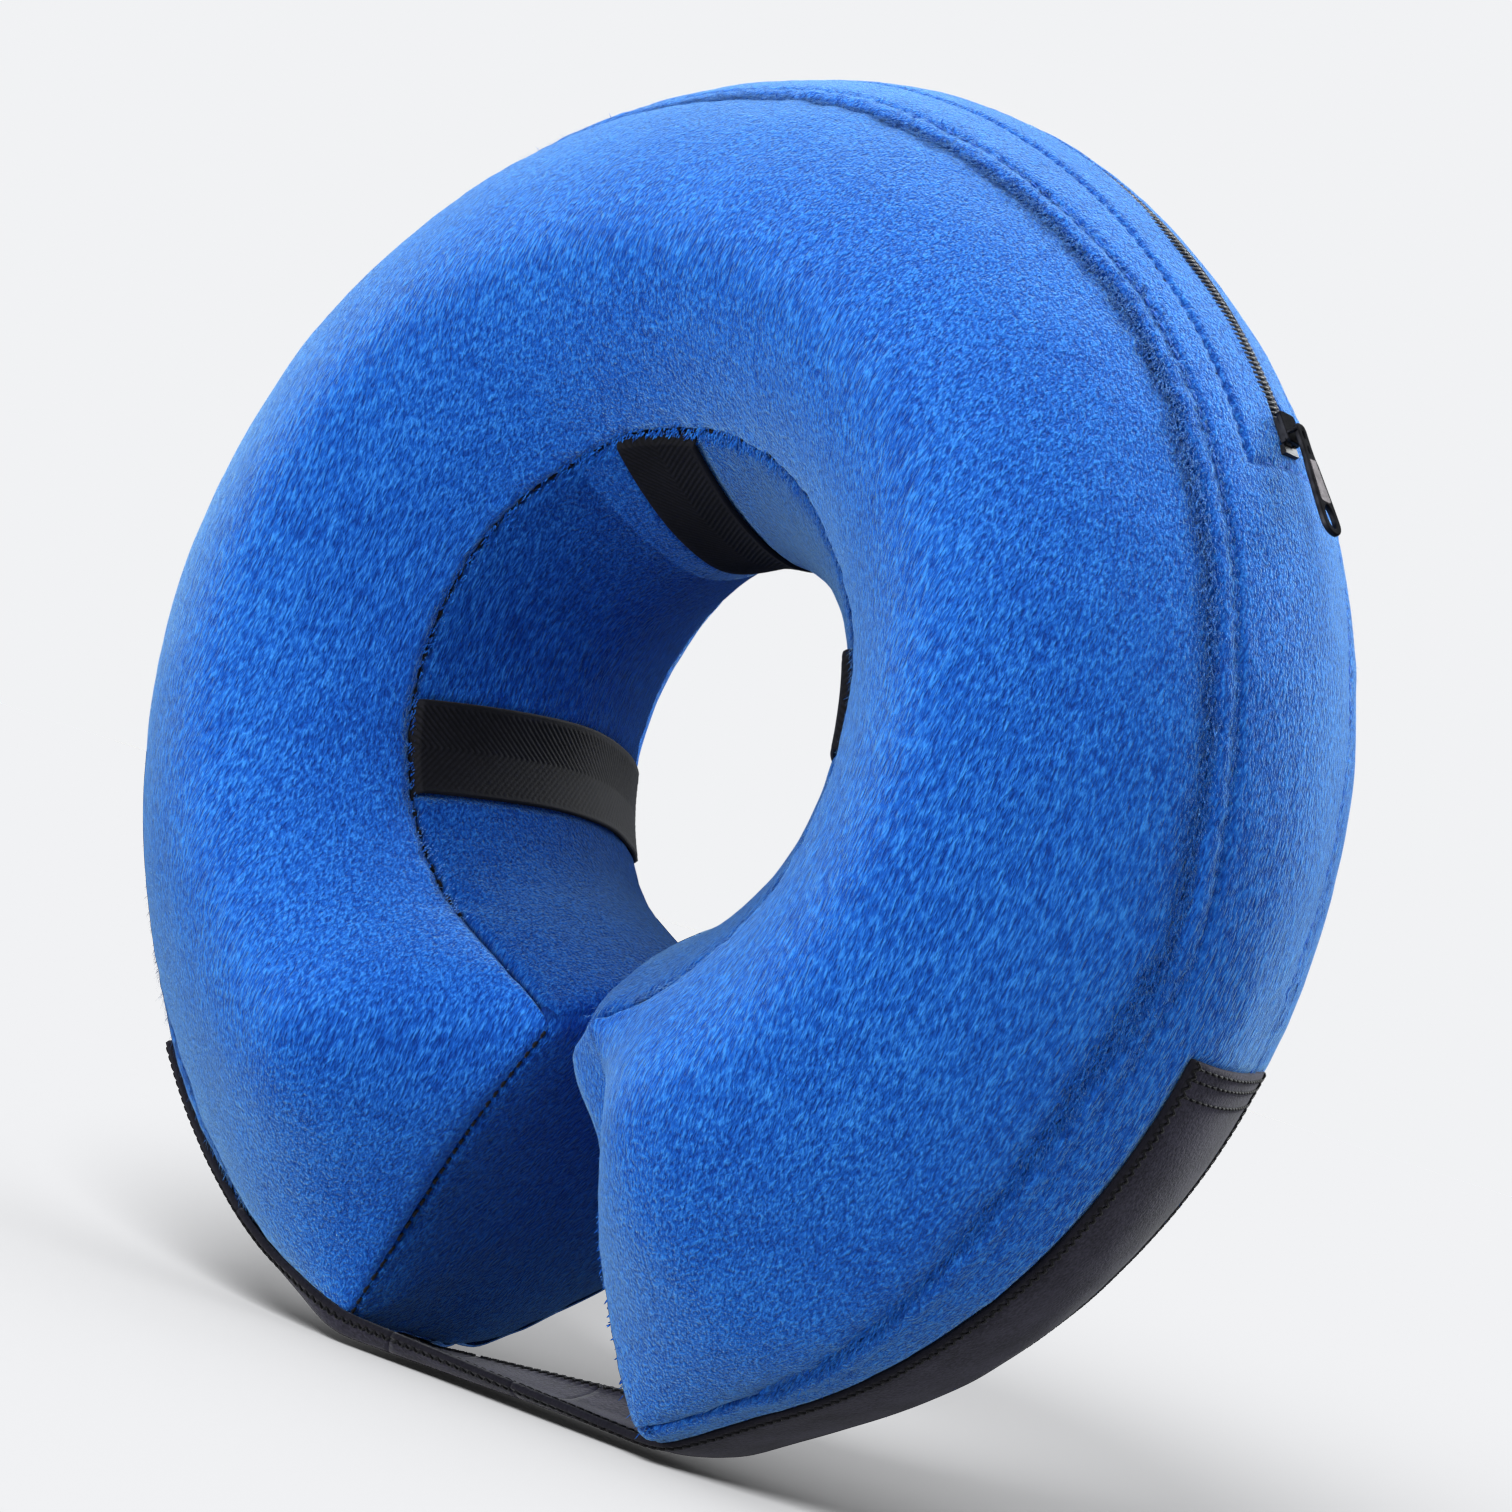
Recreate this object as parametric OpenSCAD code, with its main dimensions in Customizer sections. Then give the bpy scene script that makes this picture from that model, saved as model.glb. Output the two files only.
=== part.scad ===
// Inflatable ring recovery collar: a C-shaped air bladder in a plush cover, with a rim zipper,
// neck loops and a hook-and-loop closing strap. The ring stands upright on its strap:
// the neck axis is Y, the front face looks along -Y, Z is up and the opening is at the bottom.

/* [Ring] */
// Outer radius of the ring over its rim
ring_r = 180; // [160:1:200]
// Radius of the circle through the middle of the tube
core_r = 115.3; // [105:0.1:120]
// Half of the tube's depth, front to back
half_depth = 80.9; // [70:0.1:90]
// Fullness of the tube's outline: 2 is an ellipse, less is slimmer at the shoulders
fullness = 1.61; // [1.5:0.01:2.0]
// Place on the outline of the rim seams, in degrees from the rim towards the front
rim_seam = 29.1; // [25:0.1:35]
// Place on the outline of the neck seams, in degrees from the rim towards the front
neck_seam = 139; // [130:0.5:145]

/* [Opening] */
// Angle below the horizontal at which the left arm stops curving and runs straight
left_straight = 66; // [64:1:68]
// Angle below the horizontal at which the right arm stops curving and runs straight
right_straight = 59; // [57:1:61]
// Distance of the left end face from the middle of the ring, at the rim
left_rim_x = 46; // [42:1:48]
// Distance of the right end face from the middle of the ring, at the rim
right_rim_x = 55; // [52:1:58]
// Z at which both end faces reach the rim
rim_z = -177; // [-179:1:-175]
// Lean of the left end face from the vertical
left_lean = 30; // [26:1:32]
// Lean of the right end face from the vertical
right_lean = 15.4; // [13:0.1:17]
// Angle below the horizontal at which each arm bends away from the crown
bend_drop = 5; // [3:0.5:7]

/* [Fabric and bladder] */
// Thickness of the plush cover
cover_t = 2; // [1.5:0.1:2.5]
// Gap left between neighbouring panels at a seam
seam_gap = 0.2; // [0.1:0.05:0.4]
// Distance from the cover's outside to the bladder's outside
bladder_depth = 5.4; // [5.2:0.1:7]
// Thickness of the bladder's wall
bladder_t = 0.6; // [0.5:0.1:1]

/* [Zipper] */
// Polar angle of the zipper's closed end
zip_from = 37.8; // [36:0.1:39]
// Polar angle of the zipper's far end
zip_to = 120; // [110:1:130]
// Distance of the zipper in front of the ring's middle plane
zip_front = 2; // [0:0.5:4]
// Half of the width of the slot in the rim that shows the zipper
slot_half = 4; // [3.8:0.1:5]
// Polar angle of the slider when the zipper is closed
slider_at = 40.2; // [40:0.1:41]
// Length of the pull tab
pull_len = 30; // [20:1:30]

/* [Straps] */
// Width of the webbing of the neck loops
loop_w = 25; // [20:1:25]
// Thickness of the webbing
loop_t = 1.6; // [1.2:0.1:2]
// Width of the closing strap
strap_w = 48; // [40:1:50]
// Thickness of the closing strap
strap_t = 2; // [1.5:0.1:2.2]
// Angle below the horizontal of the strap's sewn end on the right arm
strap_sewn_end = 13; // [12:1:15]
// Angle below the horizontal of the strap's free tip on the left arm
strap_tip_end = 44; // [42:1:48]
// Front edge of the strap on the right arm, in front of the middle plane
strap_front_right = 10; // [6:1:12]
// Front edge of the strap on the left arm, in front of the middle plane
strap_front_left = 34; // [30:1:36]

/* [Valve] */
// Polar angle of the valve, under the middle of the zipper
valve_at = 79; // [75:1:85]
// Radius of the valve stem
stem_r = 5; // [4:0.5:6]
// Running clearance on the radius of the sliding valve parts
valve_clear = 0.05; // [0.02:0.01:0.1]

/* [Hidden] */
$fn = 96;

plush_blue = "#1c62d8";
webbing_black = "#25252a";
hook_grey = "#3a3840";
metal_grey = "#8b8d92";
vinyl_clear = "#bfd0dc";

tube_a = ring_r - core_r;
split_gap = 0.3;
straight_len = 130;
outline_step = 5;
far = 400;
bearing_slack = 0.3;

// Cover and panels
face_inset = cover_t + seam_gap;

// Valve
cup_r = 14;
cup_wall = 1.5;
cup_floor_r = 152;
cup_mouth_r = 173;
sleeve_r = 7.5;
sleeve_from = 146;
sleeve_to = 158;
stem_from = 142;
stem_to = 159;
plug_r = 3;
plug_len = 8;
plug_cap_r = 5.5;
plug_cap_t = 2;

// Zipper tapes and coils
tape_depth = 2.3;
tape_t = 0.6;
tape_reach = 16;
chain_half_gap = 0.9;
coil_w = 2.2;
coil_top_r = 179.8;
coil_t = 1.9;
stop_arc = 1.2;

// Zipper slider and pull
slider_len = 9;
slider_w = 7;
plate_t = 1.4;
upper_plate_r = 180.3;
lower_plate_r = 175.3;
lower_plate_t = 1;
post_w = 1.2;
post_len = 2.5;
bail_r = 0.8;
bail_top = 2.7;
bail_at = -2;
bail_span = 4.4;
pull_t = 1.6;
pull_w = 6.8;
pull_slot_w = 3;

// Neck loops
loop_stand_off = 0.6;

// Closing strap
tape_off = 0.2;
loop_tape_t = 1.6;
hooks_t = 0.8;
hooks_off = 2.1;
flap_off = 3.1;
fold_at = 58;
fold_gap = 0.6;
bridge_top_z = -179.6;
bridge_left_x = -44.6;
bridge_right_x = 53.2;
bridge_fold_x = -10.2;

// ---- The tube's outline: radius from the neck axis, and distance in front of the middle plane

function sign_pow(x, p) = sign(x) * pow(abs(x), p);

// Point on the outline at t degrees: 0 is the rim, 90 the front, 180 the throat, 270 the rear
function on_outline(t) = [
    core_r + tube_a * sign_pow(cos(t), 2 / fullness),
    half_depth * sign_pow(sin(t), 2 / fullness)];

// Unit outward normal of the outline at t degrees
function outline_normal(t) =
    let (q = 2 - 2 / fullness,
         n = [sign_pow(cos(t), q) / tube_a, sign_pow(sin(t), q) / half_depth])
    n / norm(n);

// Point a given depth inside the outline
function under(t, depth) = on_outline(t) - depth * outline_normal(t);

// Outline angle at which the rim side of the outline is a given distance in front
function t_at(front) =
    let (v = front / half_depth, u = pow(1 - pow(abs(v), fullness), 1 / fullness))
    sign(front) * atan2(pow(abs(v), fullness / 2), pow(u, fullness / 2));

function stops(t0, t1) =
    let (n = max(2, ceil((t1 - t0) / outline_step)))
    [for (i = [0 : n]) t0 + (t1 - t0) * i / n];

function reversed(list) = [for (i = [len(list) - 1 : -1 : 0]) list[i]];

// A strip of the outline between two outline angles and two depths
module strip(t0, t1, depth0, depth1) {
    ts = stops(t0, t1);
    polygon(concat(
        [for (t = ts) under(t, depth0)],
        [for (t = reversed(ts)) under(t, depth1)]));
}

// The whole outline at a depth, filled
module filled(depth) {
    polygon([for (i = [0 : 360 / outline_step - 1]) under(i * outline_step, depth)]);
}

// A panel's strip, with half a seam gap taken off each edge
module panel_strip(t0, t1) {
    trim = seam_gap / 2 / tube_a * 180 / PI;
    strip(t0 + trim, t1 - trim, 0, cover_t);
}

module front_strip() panel_strip(rim_seam, neck_seam);
module rear_strip() panel_strip(360 - neck_seam, 360 - rim_seam);
module rim_strip() panel_strip(-rim_seam, rim_seam);
module neck_strip() panel_strip(neck_seam, 360 - neck_seam);

// ---- Sweeps of an outline shape around the ring. The ring is drawn flat and then stood up.

module upright() rotate([90, 0, 0]) children();

// Around the neck axis between two polar angles
module around(a0, a1) rotate(a0) rotate_extrude(angle = a1 - a0) children();

module crown(gap = split_gap) around(gap / 2 - bend_drop, 180 + bend_drop - gap / 2) children();

// Straight on from an angle below the horizontal, on the right-hand side
module straight_on(below) rotate([90, 0, -below]) linear_extrude(straight_len) children();

// Everything past an end face on the right-hand side, with the face moved by inset into the arm
module past_end(rim_x, lean, inset) {
    translate([rim_x, rim_z])
        rotate(lean)
            translate([inset - far, -far, -far / 2]) cube([far, 2 * far, far]);
}

// An arm on the right-hand side, swept from an angle below the horizontal to its end face
module arm(straight, rim_x, lean, inset, from) {
    difference() {
        union() {
            around(-straight, -from) children();
            straight_on(straight) children();
        }
        past_end(rim_x, lean, inset);
    }
}

module left_arm(inset, from = bend_drop + split_gap / 2) {
    mirror([1, 0, 0]) arm(left_straight, left_rim_x, left_lean, inset, from) children();
}

module right_arm(inset, from = bend_drop + split_gap / 2) {
    arm(right_straight, right_rim_x, right_lean, inset, from) children();
}

// The slice of an arm between its end face and a plane inside it
module end_slice(straight, rim_x, lean, thickness) {
    intersection() {
        difference() {
            straight_on(straight) filled(0);
            past_end(rim_x, lean, 0);
        }
        past_end(rim_x, lean, thickness);
    }
}

// ---- Cover: crown, the upper part of the ring

module front_panel_crown() color(plush_blue) upright() crown() front_strip();
module rear_panel_crown() color(plush_blue) upright() crown() rear_strip();
module neck_band_crown() color(plush_blue) upright() crown() neck_strip();

module rim_gusset_crown() {
    color(plush_blue) upright() difference() {
        crown() rim_strip();
        around(zip_from, zip_to)
            translate([ring_r - 3 * cover_t, zip_front - slot_half])
                square([4 * cover_t, 2 * slot_half]);
    }
}

// ---- Cover: arms. Panels stop short of the end faces, which close the tube.

module front_panel_left() color(plush_blue) upright() left_arm(face_inset) front_strip();
module rear_panel_left() color(plush_blue) upright() left_arm(face_inset) rear_strip();
module rim_gusset_left() color(plush_blue) upright() left_arm(face_inset) rim_strip();
module neck_band_left() color(plush_blue) upright() left_arm(face_inset) neck_strip();

module front_panel_right() color(plush_blue) upright() right_arm(face_inset) front_strip();
module rear_panel_right() color(plush_blue) upright() right_arm(face_inset) rear_strip();
module rim_gusset_right() color(plush_blue) upright() right_arm(face_inset) rim_strip();
module neck_band_right() color(plush_blue) upright() right_arm(face_inset) neck_strip();

module end_face_left() {
    color(plush_blue) upright() mirror([1, 0, 0])
        end_slice(left_straight, left_rim_x, left_lean, cover_t);
}

module end_face_right() {
    color(plush_blue) upright() end_slice(right_straight, right_rim_x, right_lean, cover_t);
}

// ---- Bladder: a thin-walled tube, closed at the arms' ends

module valve_axis() rotate(valve_at) rotate([0, 90, 0]) children();

module bladder_crown() {
    color(vinyl_clear) upright() difference() {
        crown() filled(bladder_depth);
        crown(0) filled(bladder_depth + bladder_t);
        valve_axis() translate([0, 0, core_r]) cylinder(r = cup_r + bearing_slack, h = ring_r - core_r);
    }
}

module bladder_left() {
    color(vinyl_clear) upright() difference() {
        left_arm(bladder_depth) filled(bladder_depth);
        left_arm(bladder_depth + bladder_t, bend_drop) filled(bladder_depth + bladder_t);
    }
}

module bladder_right() {
    color(vinyl_clear) upright() difference() {
        right_arm(bladder_depth) filled(bladder_depth);
        right_arm(bladder_depth + bladder_t, bend_drop) filled(bladder_depth + bladder_t);
    }
}

// ---- Valve: a cup sunk in the bladder's rim, a stem that slides in its sleeve, and a plug

module ring_tube(r_out, r_in, from, to) {
    difference() {
        translate([0, 0, from]) cylinder(r = r_out, h = to - from);
        translate([0, 0, from - 1]) cylinder(r = r_in, h = to - from + 2);
    }
}

module valve_base() {
    bore_r = stem_r + valve_clear;
    color(vinyl_clear) upright() valve_axis() union() {
        ring_tube(cup_r, cup_r - cup_wall, cup_floor_r, cup_mouth_r);
        ring_tube(cup_r, bore_r, cup_floor_r, cup_floor_r + cup_wall);
        ring_tube(sleeve_r, bore_r, sleeve_from, sleeve_to);
    }
}

module valve_stem() {
    color(vinyl_clear) upright() valve_axis()
        ring_tube(stem_r, plug_r + valve_clear, stem_from, stem_to);
}

module valve_plug() {
    cap_from = stem_to + bearing_slack;
    color(vinyl_clear) upright() valve_axis() union() {
        translate([0, 0, cap_from - plug_len]) cylinder(r = plug_r, h = plug_len);
        translate([0, 0, cap_from]) cylinder(r = plug_cap_r, h = plug_cap_t);
    }
}

// ---- Zipper, on the rim of the crown

// A zipper tape from the middle of the zipper to its reach; side is 1 for the front tape
module zipper_tape(side) {
    near = zip_front + side * chain_half_gap;
    reach = zip_front + side * tape_reach;
    color(webbing_black) upright() around(zip_from - 1.5, zip_to + 1.5)
        strip(t_at(min(near, reach)), t_at(max(near, reach)), tape_depth, tape_depth + tape_t);
}

module zipper_coil(side) {
    low = side > 0 ? zip_front + chain_half_gap : zip_front - chain_half_gap - coil_w;
    color(webbing_black) upright() around(zip_from + stop_arc, zip_to - stop_arc)
        translate([coil_top_r - coil_t, low]) square([coil_t, coil_w]);
}

module zipper_tape_front() zipper_tape(1);
module zipper_tape_rear() zipper_tape(-1);
module zipper_coil_front() zipper_coil(1);
module zipper_coil_rear() zipper_coil(-1);

module zipper_stops() {
    stop_w = chain_half_gap + coil_w;
    color(metal_grey) upright() for (a = [zip_from + 0.2, zip_to - 1])
        around(a, a + 0.8)
            translate([coil_top_r - coil_t, zip_front - stop_w]) square([coil_t, 2 * stop_w]);
}

// The slider's own frame: X outwards, Y along the zipper away from the closed end, Z to the front
module at_slider() upright() rotate(slider_at) translate([0, 0, zip_front]) children();

module block(r, along, front, size) {
    translate([r, along - size[1] / 2, front - size[2] / 2]) cube(size);
}

module zipper_slider() {
    post_from = lower_plate_r + lower_plate_t / 2;
    bail_r0 = upper_plate_r + plate_t;
    color(metal_grey) at_slider() union() {
        block(upper_plate_r, 0, 0, [plate_t, slider_len, slider_w]);
        block(lower_plate_r, 0, 0, [lower_plate_t, slider_len, slider_w]);
        block(post_from, slider_len / 2 - post_len / 2, 0,
            [upper_plate_r + plate_t / 2 - post_from, post_len, post_w]);
        for (side = [-1, 1])
            block(bail_r0 - plate_t / 2, bail_at, side * (bail_span / 2 + 0.6),
                [bail_top + plate_t / 2, 2 * bail_r, 1.2]);
        translate([bail_r0 + bail_top - bail_r, bail_at, -bail_span / 2 - 0.3])
            cylinder(r = bail_r, h = bail_span + 0.6);
    }
}

module zipper_pull() {
    eye_r = bail_r + valve_clear;
    eye_out = eye_r + 0.9;
    eye_w = bail_span - 0.6;
    neck_len = 4;
    color(metal_grey) at_slider()
        translate([upper_plate_r + plate_t + bail_top - bail_r, bail_at, 0])
            difference() {
                union() {
                    translate([0, 0, -eye_w / 2]) cylinder(r = eye_out, h = eye_w);
                    block(-pull_t / 2, -neck_len / 2, 0, [pull_t, neck_len, eye_w]);
                    block(-pull_t / 2, -neck_len - (pull_len - neck_len - pull_w / 2) / 2, 0,
                        [pull_t, pull_len - neck_len - pull_w / 2, pull_w]);
                    translate([-pull_t / 2, -(pull_len - pull_w / 2), 0])
                        rotate([0, 90, 0]) cylinder(r = pull_w / 2, h = pull_t);
                }
                translate([0, 0, -eye_w]) cylinder(r = eye_r, h = 2 * eye_w);
                block(-pull_t, -(neck_len + pull_len - pull_w / 2) / 2 - 1, 0,
                    [2 * pull_t, pull_len - neck_len - pull_w / 2 - 3, pull_slot_w]);
                translate([-pull_t, -(pull_len - pull_w / 2) + 0.5, 0])
                    rotate([0, 90, 0]) cylinder(r = pull_slot_w / 2, h = 2 * pull_t);
            }
}

// ---- Neck loops: webbing across the neck band from seam to seam, for the pet's own collar

module neck_loop(at) {
    half_angle = loop_w / 2 / (core_r - tube_a + 21) * 180 / PI;
    color(webbing_black) upright() around(at - half_angle, at + half_angle)
        strip(neck_seam + 1, 359 - neck_seam, -loop_stand_off - loop_t, -loop_stand_off);
}

module top_neck_loop() neck_loop(103.5);
module right_neck_loop() neck_loop(14);
module left_neck_loop() neck_loop(202);

// ---- Closing strap: sewn along the right arm, bridging the opening, hooked on the left arm

module rim_tape(front_edge, width, off, t) {
    strip(t_at(front_edge - width), t_at(front_edge), -off - t, -off);
}

module loop_tape_left() {
    color(webbing_black) upright()
        left_arm(face_inset, strap_tip_end + 1)
            rim_tape(strap_front_left - 1, strap_w - 2, tape_off, loop_tape_t);
}

module strap_sewn() {
    color(webbing_black) upright()
        right_arm(face_inset, strap_sewn_end)
            rim_tape(strap_front_right, strap_w, tape_off, strap_t);
}

// Front edge of the strap where it bridges the opening, which it crosses at a slant
function bridge_front(x) =
    let (share = (x - bridge_left_x) / (bridge_right_x - bridge_left_x))
    -strap_front_left + share * (strap_front_left - strap_front_right);

// The bridge between two distances from the middle; it folds between its two lengths
module strap_bridge(x0, x1) {
    color(webbing_black) translate([0, 0, bridge_top_z - strap_t]) linear_extrude(strap_t)
        polygon([
            [x0, bridge_front(x0)], [x1, bridge_front(x1)],
            [x1, bridge_front(x1) + strap_w], [x0, bridge_front(x0) + strap_w]]);
}

module strap_bridge_right() strap_bridge(bridge_fold_x + fold_gap / 2, bridge_right_x);
module strap_bridge_left() strap_bridge(bridge_left_x, bridge_fold_x - fold_gap / 2);

module strap_middle_layer(off, t, inset) {
    color(webbing_black) upright()
        left_arm(inset, fold_at + fold_gap / 2) rim_tape(strap_front_left, strap_w, off, t);
}

module strap_tip_layer(off, t, end) {
    color(webbing_black) upright() mirror([1, 0, 0]) around(fold_gap / 2 - fold_at, -end)
        rim_tape(strap_front_left, strap_w, off, t);
}

module strap_middle() strap_middle_layer(flap_off, strap_t, face_inset);
module strap_hooks_middle() strap_middle_layer(hooks_off, hooks_t, face_inset + 1);
module strap_tip() strap_tip_layer(flap_off, strap_t, strap_tip_end);
module strap_hooks_tip() strap_tip_layer(hooks_off, hooks_t, strap_tip_end + 1);

front_panel_crown();
rear_panel_crown();
rim_gusset_crown();
neck_band_crown();
bladder_crown();
zipper_tape_front();
zipper_tape_rear();
zipper_coil_front();
zipper_coil_rear();
zipper_stops();
top_neck_loop();
right_neck_loop();
valve_base();
valve_stem();
valve_plug();
zipper_slider();
zipper_pull();
front_panel_left();
rear_panel_left();
rim_gusset_left();
neck_band_left();
end_face_left();
bladder_left();
left_neck_loop();
loop_tape_left();
front_panel_right();
rear_panel_right();
rim_gusset_right();
neck_band_right();
end_face_right();
bladder_right();
strap_sewn();
strap_bridge_right();
strap_bridge_left();
strap_middle();
strap_hooks_middle();
strap_tip();
strap_hooks_tip();
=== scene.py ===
import math

import bmesh
import bpy
import numpy as np
from mathutils import Matrix, Vector


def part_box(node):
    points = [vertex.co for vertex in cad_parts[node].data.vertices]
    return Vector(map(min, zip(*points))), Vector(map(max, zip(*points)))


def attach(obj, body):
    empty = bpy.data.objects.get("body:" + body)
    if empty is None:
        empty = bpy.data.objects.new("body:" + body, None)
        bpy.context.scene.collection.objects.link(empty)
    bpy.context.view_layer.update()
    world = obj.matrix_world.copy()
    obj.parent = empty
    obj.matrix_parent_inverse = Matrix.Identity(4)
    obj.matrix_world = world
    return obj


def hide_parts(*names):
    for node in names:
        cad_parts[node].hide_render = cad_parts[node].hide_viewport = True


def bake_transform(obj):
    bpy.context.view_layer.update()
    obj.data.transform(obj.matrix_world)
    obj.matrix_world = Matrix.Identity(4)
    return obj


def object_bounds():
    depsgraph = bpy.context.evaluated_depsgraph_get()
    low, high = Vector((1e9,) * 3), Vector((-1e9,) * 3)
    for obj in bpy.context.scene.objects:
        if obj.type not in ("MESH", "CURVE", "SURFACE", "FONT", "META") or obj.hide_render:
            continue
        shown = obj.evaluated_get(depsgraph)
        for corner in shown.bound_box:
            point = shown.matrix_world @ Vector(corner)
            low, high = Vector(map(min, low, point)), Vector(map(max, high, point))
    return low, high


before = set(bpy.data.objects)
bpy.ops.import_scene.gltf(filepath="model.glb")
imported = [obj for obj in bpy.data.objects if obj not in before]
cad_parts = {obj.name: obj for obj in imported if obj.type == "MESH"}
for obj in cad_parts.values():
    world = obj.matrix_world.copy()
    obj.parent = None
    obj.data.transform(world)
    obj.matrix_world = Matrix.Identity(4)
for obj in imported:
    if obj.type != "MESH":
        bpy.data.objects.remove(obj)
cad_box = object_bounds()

# The part is an inflated ring in a plush cover. Lengths here are in millimetres until a mesh is made.
MM = 0.001
TAU = 2 * math.pi
SEED = 11

# ---------------------------------------------------------------- the ring's shape, as in the CAD

CORE_R = 115.3
FULLNESS = 1.61
RING_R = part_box("rim_gusset_crown")[1].x / MM
HALF_DEPTH = -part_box("front_panel_crown")[0].y / MM
RIGHT_STRAIGHT = -59.0
LEFT_STRAIGHT = 246.0
RIM_Z = -177.0
RIGHT_RIM_X = 55.0
LEFT_RIM_X = -46.0
RIGHT_LEAN = 15.4
LEFT_LEAN = 30.0
SPLIT_AT = 126.0          # polar angle at which each panel is cut into a right and a left piece
SLIT_MIDDLE = 1.6         # the zipper's slit, in front of the middle plane
SLIT_HALF = 2.3
SLIT_FROM = 38.4
SLIT_TO = 119.0
SLIDER_AT = 40.2


def signed_power(x, p):
    return np.sign(x) * np.abs(x) ** p


def make_outline(smooth=5.0, samples=4096):
    """The outline as (length, radius, y) tables, its corners eased by a Gaussian along its length."""
    t = np.linspace(0, TAU, 16384, endpoint=False)
    r = CORE_R + (RING_R - CORE_R) * signed_power(np.cos(t), 2 / FULLNESS)
    y = -HALF_DEPTH * signed_power(np.sin(t), 2 / FULLNESS)
    step = np.hypot(np.diff(r, append=r[0]), np.diff(y, append=y[0]))
    length = np.concatenate([[0], np.cumsum(step)[:-1]])
    total = step.sum()
    u = np.linspace(0, total, samples, endpoint=False)
    r = np.interp(u, length, r, period=total)
    y = np.interp(u, length, y, period=total)
    gain = np.exp(-2 * (math.pi * np.fft.fftfreq(samples, total / samples) * smooth) ** 2)
    r = np.fft.ifft(np.fft.fft(r) * gain).real
    y = np.fft.ifft(np.fft.fft(y) * gain).real
    r = CORE_R + (r - CORE_R) * (RING_R - CORE_R) / (r.max() - CORE_R)
    y = y * HALF_DEPTH / np.abs(y).max()
    return u, r, y, total


OUT_U, OUT_R, OUT_Y, OUT_LEN = make_outline()
_dr = np.gradient(np.concatenate([OUT_R[-1:], OUT_R, OUT_R[:1]]))[1:-1]
_dy = np.gradient(np.concatenate([OUT_Y[-1:], OUT_Y, OUT_Y[:1]]))[1:-1]
_dl = np.hypot(_dr, _dy)
OUT_NR = -_dy / _dl
OUT_NY = _dr / _dl
FRONT_AT = OUT_U[np.argmin(OUT_Y)]
THROAT_AT = OUT_LEN / 2


def outline_at(length):
    length = np.mod(length, OUT_LEN)
    return tuple(np.interp(length, OUT_U, a, period=OUT_LEN) for a in (OUT_R, OUT_Y, OUT_NR, OUT_NY))


def length_on_rim_side(front):
    """Outline length, on the rim side, of the point a distance in front of the middle plane."""
    keep = OUT_U <= FRONT_AT
    return np.sign(front) * np.interp(np.abs(front), -OUT_Y[keep], OUT_U[keep])


def length_on_neck_side(front):
    keep = (OUT_U >= FRONT_AT) & (OUT_U <= THROAT_AT)
    return np.interp(front, -OUT_Y[keep][::-1], OUT_U[keep][::-1])


# Where the seams run: polar angle, and distance in front of the middle plane
RIM_SEAM = np.array([(-60, 21), (-56, 23), (-43, 29), (-30, 32.5), (-19, 32.5), (-6, 29), (7, 32), (19, 34),
                     (53, 34.5), (63, 37.5), (77, 40), (100, 41), (200, 42), (229, 42), (242, 34), (247, 24)])
NECK_SEAM = np.array([(-60, 63), (-45, 62), (-30, 59), (0, 57), (48, 54.5), (63, 55), (78, 54), (93, 52), (114, 50),
                      (126, 48.5), (246, 48.5)])


def rim_seam_length(q):
    return length_on_rim_side(np.interp(q, RIM_SEAM[:, 0], RIM_SEAM[:, 1]))


def neck_seam_length(q):
    return length_on_neck_side(np.interp(q, NECK_SEAM[:, 0], NECK_SEAM[:, 1]))


def end_of(side):
    """(polar angle where the arm runs straight, its direction, a point of the end face, the face's normal)."""
    a = math.radians(RIGHT_STRAIGHT if side == "right" else LEFT_STRAIGHT)
    if side == "right":
        lean = math.radians(RIGHT_LEAN)
        return a, (math.sin(a), -math.cos(a)), (RIGHT_RIM_X, RIM_Z), (-math.cos(lean), -math.sin(lean))
    lean = math.radians(LEFT_LEAN)
    return a, (-math.sin(a), math.cos(a)), (LEFT_RIM_X, RIM_Z), (math.cos(lean), -math.sin(lean))


def reach(side, r):
    """Length of the arm's straight part at a radius."""
    a, along, point, normal = end_of(side)
    gap = (point[0] - r * math.cos(a)) * normal[0] + (point[1] - r * math.sin(a)) * normal[1]
    return gap / (along[0] * normal[0] + along[1] * normal[1])


def place(q, r, y):
    """Points of the ring in millimetres. One unit of q past either straight angle is the whole straight part."""
    q, r, y = np.broadcast_arrays(np.asarray(q, float), r, y)
    a = np.radians(np.clip(q, RIGHT_STRAIGHT, LEFT_STRAIGHT))
    x, z = r * np.cos(a), r * np.sin(a)
    for side, past in (("right", RIGHT_STRAIGHT - q), ("left", q - LEFT_STRAIGHT)):
        along = end_of(side)[1]
        go = np.clip(past, 0, 2) * reach(side, r)
        x, z = x + along[0] * go, z + along[1] * go
    return np.stack([x, y, z], -1)


def to_end(q, r):
    """Distance along the arm to the nearer end face."""
    q, r = np.broadcast_arrays(np.asarray(q, float), r)
    out = np.full(q.shape, 1e3)
    for side, past, into in (("right", RIGHT_STRAIGHT - q, q - RIGHT_STRAIGHT), ("left", q - LEFT_STRAIGHT, LEFT_STRAIGHT - q)):
        e = (1 - np.clip(past, 0, 1)) * reach(side, r) + np.radians(np.clip(into, 0, 90)) * CORE_R
        out = np.where(into < 60, np.minimum(out, e), out)
    return out


# The cover is not quite round: polar angle, and how much fuller its rim is there
UNROUND = np.array([(-60, 1.0), (-30, 1.4), (-10, 0.4), (15, -1.2), (60, -1.4), (88, 0.3), (105, 0.6), (125, -0.8),
                    (165, -0.6), (190, 0.4), (247, 0.6)])
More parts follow.
